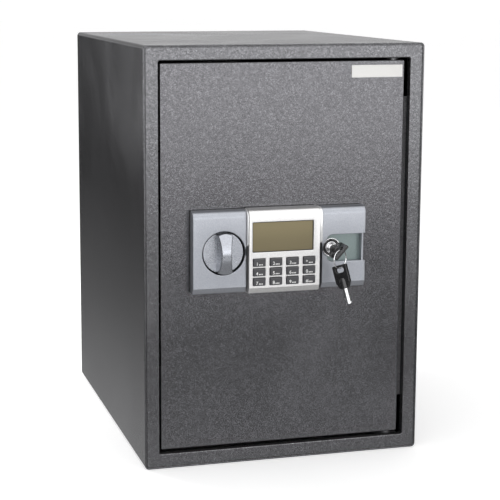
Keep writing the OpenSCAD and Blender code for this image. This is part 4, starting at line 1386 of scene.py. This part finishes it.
@dataclass
class OverrideLock:
    """Lock barrel with its chrome ring and plug, two tubular keys and the split ring."""

    turn: float = 48.0
    lean: float = 20.0
    yaw: float = 30.0
    ring_radius: float = 11 * MM
    wire: float = 0.4 * MM
    head_half: float = 11 * MM
    head_thick: float = 4 * MM
    head_top: float = 6 * MM
    head_low: float = -23 * MM
    tube: float = 3.8 * MM
    bore: float = 2.9 * MM
    blade: float = 18.5 * MM
    slot: Point = (6.5 * MM, 3.2 * MM)
    bezel: float = 11.5 * MM
    plug: float = 6 * MM
    drop: float = 2.2 * MM

    def build(self) -> None:
        """Makes the lock, both keys and the ring."""
        self.barrel()
        self.plug_face()
        thread, low = anchor("ring_swing"), anchor("spare_swing")
        lock = anchor("plug_turn")
        inserted = Matrix.Translation((lock.x, thread.y, lock.z)) @ turned(-self.turn, "Y") @ turned(90, "X")
        hanging = (Matrix.Translation(low) @ turned(self.yaw - 90, "Z") @ turned(-self.lean, "Y")
                   @ Matrix.Translation((0, 0, -self.drop)))
        self.key(inserted, "key", "key_shaft", "key_head")
        self.key(hanging, "spare_key", "spare_shaft", "spare_head")
        middle = Matrix.Translation(low + Vector((0, 0, self.ring_radius)))
        self.split_ring(middle @ turned(self.yaw, "Z") @ turned(90, "X"))

    def barrel(self) -> None:
        """Barrel with a polished outer ring, a trough painted black as painted shade, and an inner collar."""
        low, high = spot("lock_cylinder")
        axis = anchor("plug_turn")
        centre = (axis.x, axis.z)
        front, trough = low.y, low.y + 1.2 * MM
        seat = front + 3.5 * MM
        lip, collar, bore = self.bezel - 1.3 * MM, self.plug + 1.3 * MM, self.plug + 0.1 * MM
        ring = [(lip, trough), (lip, front), (self.bezel, front), (self.bezel, seat), (9.4 * MM, seat),
                (9.4 * MM, high.y), (self.plug + 0.4 * MM, high.y), (bore, high.y - 3 * MM), (bore, front),
                (collar, front), (collar, trough)]
        barrel = Shape().lathe(softened(ring, 0.45 * MM, closed=False), Axis.Y, centre, 80)
        # Painted shade: the trough's floor is black, standing for the shadow gap between the outer ring and
        # the collar.
        barrel.lathe([(lip, trough), (collar, trough)], Axis.Y, centre, 80, mark=1)
        put("lock_barrel", barrel, "door", [BRIGHT, BLACK_AND_SHADE], ["lock_cylinder"])

    def plug_face(self) -> None:
        """Turning plug with the round keyway and its centre post."""
        low, high = spot("lock_plug")
        axis = anchor("plug_turn")
        depth = low.y + 9 * MM
        post, keyway = 2.6 * MM, self.tube + 0.15 * MM
        profile = [(0, low.y + 0.4 * MM), (post, low.y + 0.4 * MM), (post, depth), (keyway, depth),
                   (keyway, low.y), (self.plug, low.y), (self.plug, high.y), (0, high.y)]
        plug = Shape().lathe(softened(profile, 0.3 * MM, closed=False, steps=3), Axis.Y, (axis.x, axis.z), 64)
        put("lock_plug_face", plug, "lock_plug", BRIGHT, ["lock_plug"])

    def key(self, place: Matrix, body: str, shaft_node: str, head_node: str) -> None:
        """One tubular key: moulded head, collar and slotted tube.

        Args:
            place: Where the middle of its slot lies.
            body: The CAD body that it moves with.
            shaft_node: The CAD node of its shaft.
            head_node: The CAD node of its head.
        """
        half, thick = self.head_half, self.head_thick / 2
        neck, shoulder = 6 * MM, self.head_low + 8 * MM
        sides = [(-neck, self.head_low), (neck, self.head_low), (half, shoulder), (half, self.head_top),
                 (-half, self.head_top), (-half, shoulder)]
        wide, tall = self.slot
        hole = rounded((-wide, -tall), (wide, tall), tall - 0.02 * MM, 8)
        head = Shape().slab([softened(sides, 1.6 * MM), hole], Axis.Y, -thick, thick, 0.7 * MM)
        inner = [(x * 0.8, self.head_low + 6 * MM + (z - self.head_low) * 0.5) for x, z in sides]
        grips = Shape()
        for side in (-1, 1):
            faces = sorted((side * (thick - 0.35 * MM), side * (thick + 2 * MM)))
            grips.slab([softened([(x, z - 4 * MM) for x, z in inner], 1.2 * MM)], Axis.Y, *faces, rim=SHARP)
        data = carve(head.mesh(head_node), grips)
        base = Shape()
        base.bm.from_mesh(data)
        collar = [(self.tube, self.head_low), (5.2 * MM, self.head_low), (5.2 * MM, self.head_low + 9 * MM),
                  (3.4 * MM, self.head_low + 13 * MM), (0, self.head_low + 13 * MM)]
        base.lathe(softened(collar, 0.8 * MM, closed=False), Axis.Z, (0, 0), 40)
        put(head_node + "_grip", base.moved(place), body, BLACK_AND_SHADE, [head_node])
        tip = self.head_low - self.blade
        inner_end, root = tip + 14 * MM, self.head_low + 6 * MM
        pipe = [(self.bore, inner_end), (self.bore, tip), (self.tube, tip), (self.tube, root), (0, root),
                (0, inner_end)]
        shaft = Shape().lathe(softened(pipe, 0.3 * MM, steps=2), Axis.Z, (0, 0), 40)
        slit = Shape().slab([rounded((-0.8 * MM, tip - 2 * MM), (0.8 * MM, tip + 8 * MM), 0.7 * MM)],
                            Axis.Y, -PAST, PAST, SHARP)
        tube = carve(shaft.mesh(shaft_node), slit)
        bits = Shape()
        bits.bm.from_mesh(tube)
        for side in (-1, 1):
            x = side * (self.tube + 0.3 * MM)
            lug = rounded((x - 0.8 * MM, -0.8 * MM), (x + 0.8 * MM, 0.8 * MM), 0.3 * MM, 3)
            bits.slab([lug], Axis.Z, tip + 0.8 * MM, tip + 2.4 * MM, 0.2 * MM)
        put(shaft_node + "_tube", bits.moved(place), body, BRIGHT, [shaft_node])

    def split_ring(self, place: Matrix) -> None:
        """Two turns of springy wire, side by side, with tapered ends."""
        turns, steps, sides = 1.96, 150, 12
        rings = []
        for i in range(steps + 1):
            t = i / steps
            angle = 2 * math.pi * turns * t + 2.2
            lift = self.wire * (2 * t - 1)
            fat = self.wire * min(1.0, 0.25 + 12 * min(t, 1 - t))
            out = Vector((math.cos(angle), math.sin(angle), 0))
            middle = out * self.ring_radius + Vector((0, 0, lift))
            ring = []
            for k in range(sides):
                a = 2 * math.pi * k / sides
                ring.append(middle + out * (fat * 1.5 * math.cos(a)) + Vector((0, 0, fat * math.sin(a))))
            rings.append(ring)
        put("split_ring", Shape().loft(rings).moved(place), "ring", BRIGHT, ["key_ring"])


CARRIED = {
    INNER: ["shelf_rails", "hinge_bushes", "hinge_brackets", "hinge_lugs", "dead_bar", "bolt_guide"],
    BRIGHT: ["hinge_pins", "plunger", "plunger_spring"],
    BRASS: ["knob_bush"],
    ZINC: ["solenoid_body", "knob_shaft", "crank_arm", "bolt_carriage", "bolt_nuts", "lock_nut", "lock_cam"],
    DARK_AND_SHADE: ["battery_box"],
    BOARD: ["circuit_board", "keypad_board"],
}


def dress_carried() -> None:
    """Gives each CAD node that keeps its own shape a finish, and welds its seams."""
    for finish, names in CARRIED.items():
        for name in names:
            node = frame["nodes"][name]
            node.data.materials.clear()
            node.data.materials.append(finish.material())
            weld = node.modifiers.new("weld", "WELD")
            weld.merge_threshold = SEAM_WELD
            LOG.info("%s keeps its shape, finish %s", name, finish.name)


# ---- Studio ----


@dataclass(frozen=True)
class Lamp:
    """A square soft light: its place and target in metres, its side in metres and its watts."""

    name: str
    place: tuple[float, float, float]
    target: tuple[float, float, float]
    size: float
    power: float


LAMPS = (
    Lamp("overhead", (0.1, -0.5, 2.4), (0.0, -0.1, 0.3), 2.2, 16.0),
    Lamp("back_left", (-0.75, 0.75, 0.45), (-0.18, 0.2, 0.3), 0.35, 7.0),
)


@dataclass
class Studio:
    """Pale floor, soft light all round and the camera."""

    camera_place: tuple[float, float, float] = (-0.528, -1.825, 0.583)
    yaw: float = 15.11
    pitch: float = 9.16
    roll: float = 0.09
    lens: float = 102.2
    shift: Point = (0.08, -0.08)
    floor_size: float = 40.0
    floor_glow: float = 0.4
    fill: float = 0.75
    flag: float = 0.1
    front_bands: tuple[Point, ...] = (
        (-90, 0.45), (-50, 0.4), (-30, 0.4), (-23, 1.3), (-18.5, 1.5), (-16, 0.02), (-10.5, 0.02),
        (-8.3, 1.4), (-6.5, 3.8), (-1, 3.5), (9, 2.2), (50, 2.0), (70, 0.9), (90, 0.4))
    rear_bands: tuple[Point, ...] = (
        (-90, 0.8), (-24, 1.4), (-18, 1.2), (-13, 0.5), (-7, 0.04), (0.5, 0.04), (3, 1.1), (4.5, 2.0),
        (8, 0.9), (90, 0.9))

    def build(self) -> None:
        """Sets up everything that isn't the safe."""
        self.camera()
        self.floor()
        self.sky()
        for lamp in LAMPS:
            self.lamp(lamp)
        scene = bpy.context.scene
        scene.view_settings.view_transform = "Standard"
        scene.view_settings.look = "None"

    def camera(self) -> None:
        """Places the camera by its yaw and pitch."""
        data = bpy.data.cameras.new("camera")
        data.lens = self.lens
        data.sensor_width = 36.0
        data.shift_x, data.shift_y = self.shift
        data.clip_start, data.clip_end = 0.05, 100.0
        eye = bpy.data.objects.new("camera", data)
        bpy.context.scene.collection.objects.link(eye)
        eye.location = self.camera_place
        turn = turned(-self.yaw, "Z") @ turned(90 - self.pitch, "X") @ turned(self.roll, "Z")
        eye.rotation_euler = turn.to_euler()
        bpy.context.scene.camera = eye

    def floor(self) -> None:
        """Large pale floor, left out of mirror-like reflections."""
        half = self.floor_size / 2
        shape = Shape()
        corners = ((-half, -half), (half, -half), (half, half), (-half, half))
        shape.bm.faces.new([shape.bm.verts.new((x, y, -FLOOR_DROP)) for x, y in corners])
        data = shape.mesh("floor")
        recipe = Recipe("floor_pale")
        cloud = recipe.effect(Effect.SMUDGE, Scale=0.8)
        tone = recipe.mix(cloud["Mask"], (0.86, 0.86, 0.86), (0.88, 0.88, 0.88))
        recipe.surface(Base_Color=tone, Roughness=0.9, Specular_IOR_Level=0.1, Emission_Color=tone,
                       Emission_Strength=self.floor_glow)
        data.materials.append(recipe.material)
        floor = bpy.data.objects.new("floor", data)
        floor.visible_glossy = False
        bpy.context.scene.collection.objects.link(floor)

    def sky(self) -> None:
        """Even pale backdrop, with a banded room for reflections only."""
        world = bpy.data.worlds.new("studio")
        bpy.context.scene.world = world
        world.use_nodes = True
        g = Graph(world.node_tree)
        g.tree.nodes.clear()
        way = g.add("SeparateXYZ", {0: g.add("TexCoord").outputs["Generated"]}).outputs
        front = self.ramp(g, way[2], self.front_bands)
        behind = self.ramp(g, way[2], self.rear_bands)
        room = g.mix(g.span(way[1], -0.3, 0.3), front, behind)
        beside = g.span(g.math("ABSOLUTE", way[0]), 0.45, 0.85)
        room = g.mix(beside, room, (self.flag, self.flag, self.flag))
        path = g.add("LightPath").outputs
        even = g.mix(path["Is Glossy Ray"], (self.fill, self.fill, self.fill), room)
        light = g.mix(path["Is Camera Ray"], even, (1.05, 1.05, 1.05))
        back = g.add("Background", {"Color": light, "Strength": 1.0})
        g.add("OutputWorld", {"Surface": back.outputs[0]})

    def ramp(self, g: Graph, height: bpy.types.NodeSocket, bands: Sequence[Point]) -> bpy.types.NodeSocket:
        """Brightness by elevation.

        Args:
            g: The world's graph.
            height: Upward part of the direction, from -1 to 1.
            bands: Elevation in degrees and brightness of each stop.

        Returns:
            The colour socket.
        """
        ramp = g.add("ValToRGB", {0: g.math("MULTIPLY_ADD", height, 0.5, 0.5)})
        elements = ramp.color_ramp.elements
        while len(elements) < len(bands):
            elements.new(0.5)
        for element, (angle, light) in zip(elements, bands):
            element.position = 0.5 + 0.5 * math.sin(math.radians(angle))
            element.color = (light, light, light * 1.01, 1.0)
        return ramp.outputs[0]

    def lamp(self, plan: Lamp) -> None:
        """Adds one light.

        Args:
            plan: Its name, place, target, size and power.
        """
        data = bpy.data.lights.new(plan.name, "AREA")
        data.size = plan.size
        data.energy = plan.power
        lamp = bpy.data.objects.new(plan.name, data)
        lamp.location = plan.place
        lamp.rotation_euler = (Vector(plan.target) - Vector(plan.place)).to_track_quat("-Z", "Y").to_euler()
        bpy.context.scene.collection.objects.link(lamp)


def main() -> None:
    """Builds the studio and the safe."""
    logging.basicConfig(level=logging.INFO, format="%(name)s: %(message)s")
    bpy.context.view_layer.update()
    assemblies = [Studio(), CabinetBody(), DoorLeaf(), FrontPanel(), KeyPad(), BoltKnob(), OverrideLock()]
    for assembly in assemblies:
        LOG.info("building %s", type(assembly).__name__)
        assembly.build()
    dress_carried()


if __name__ == "__main__":
    main()
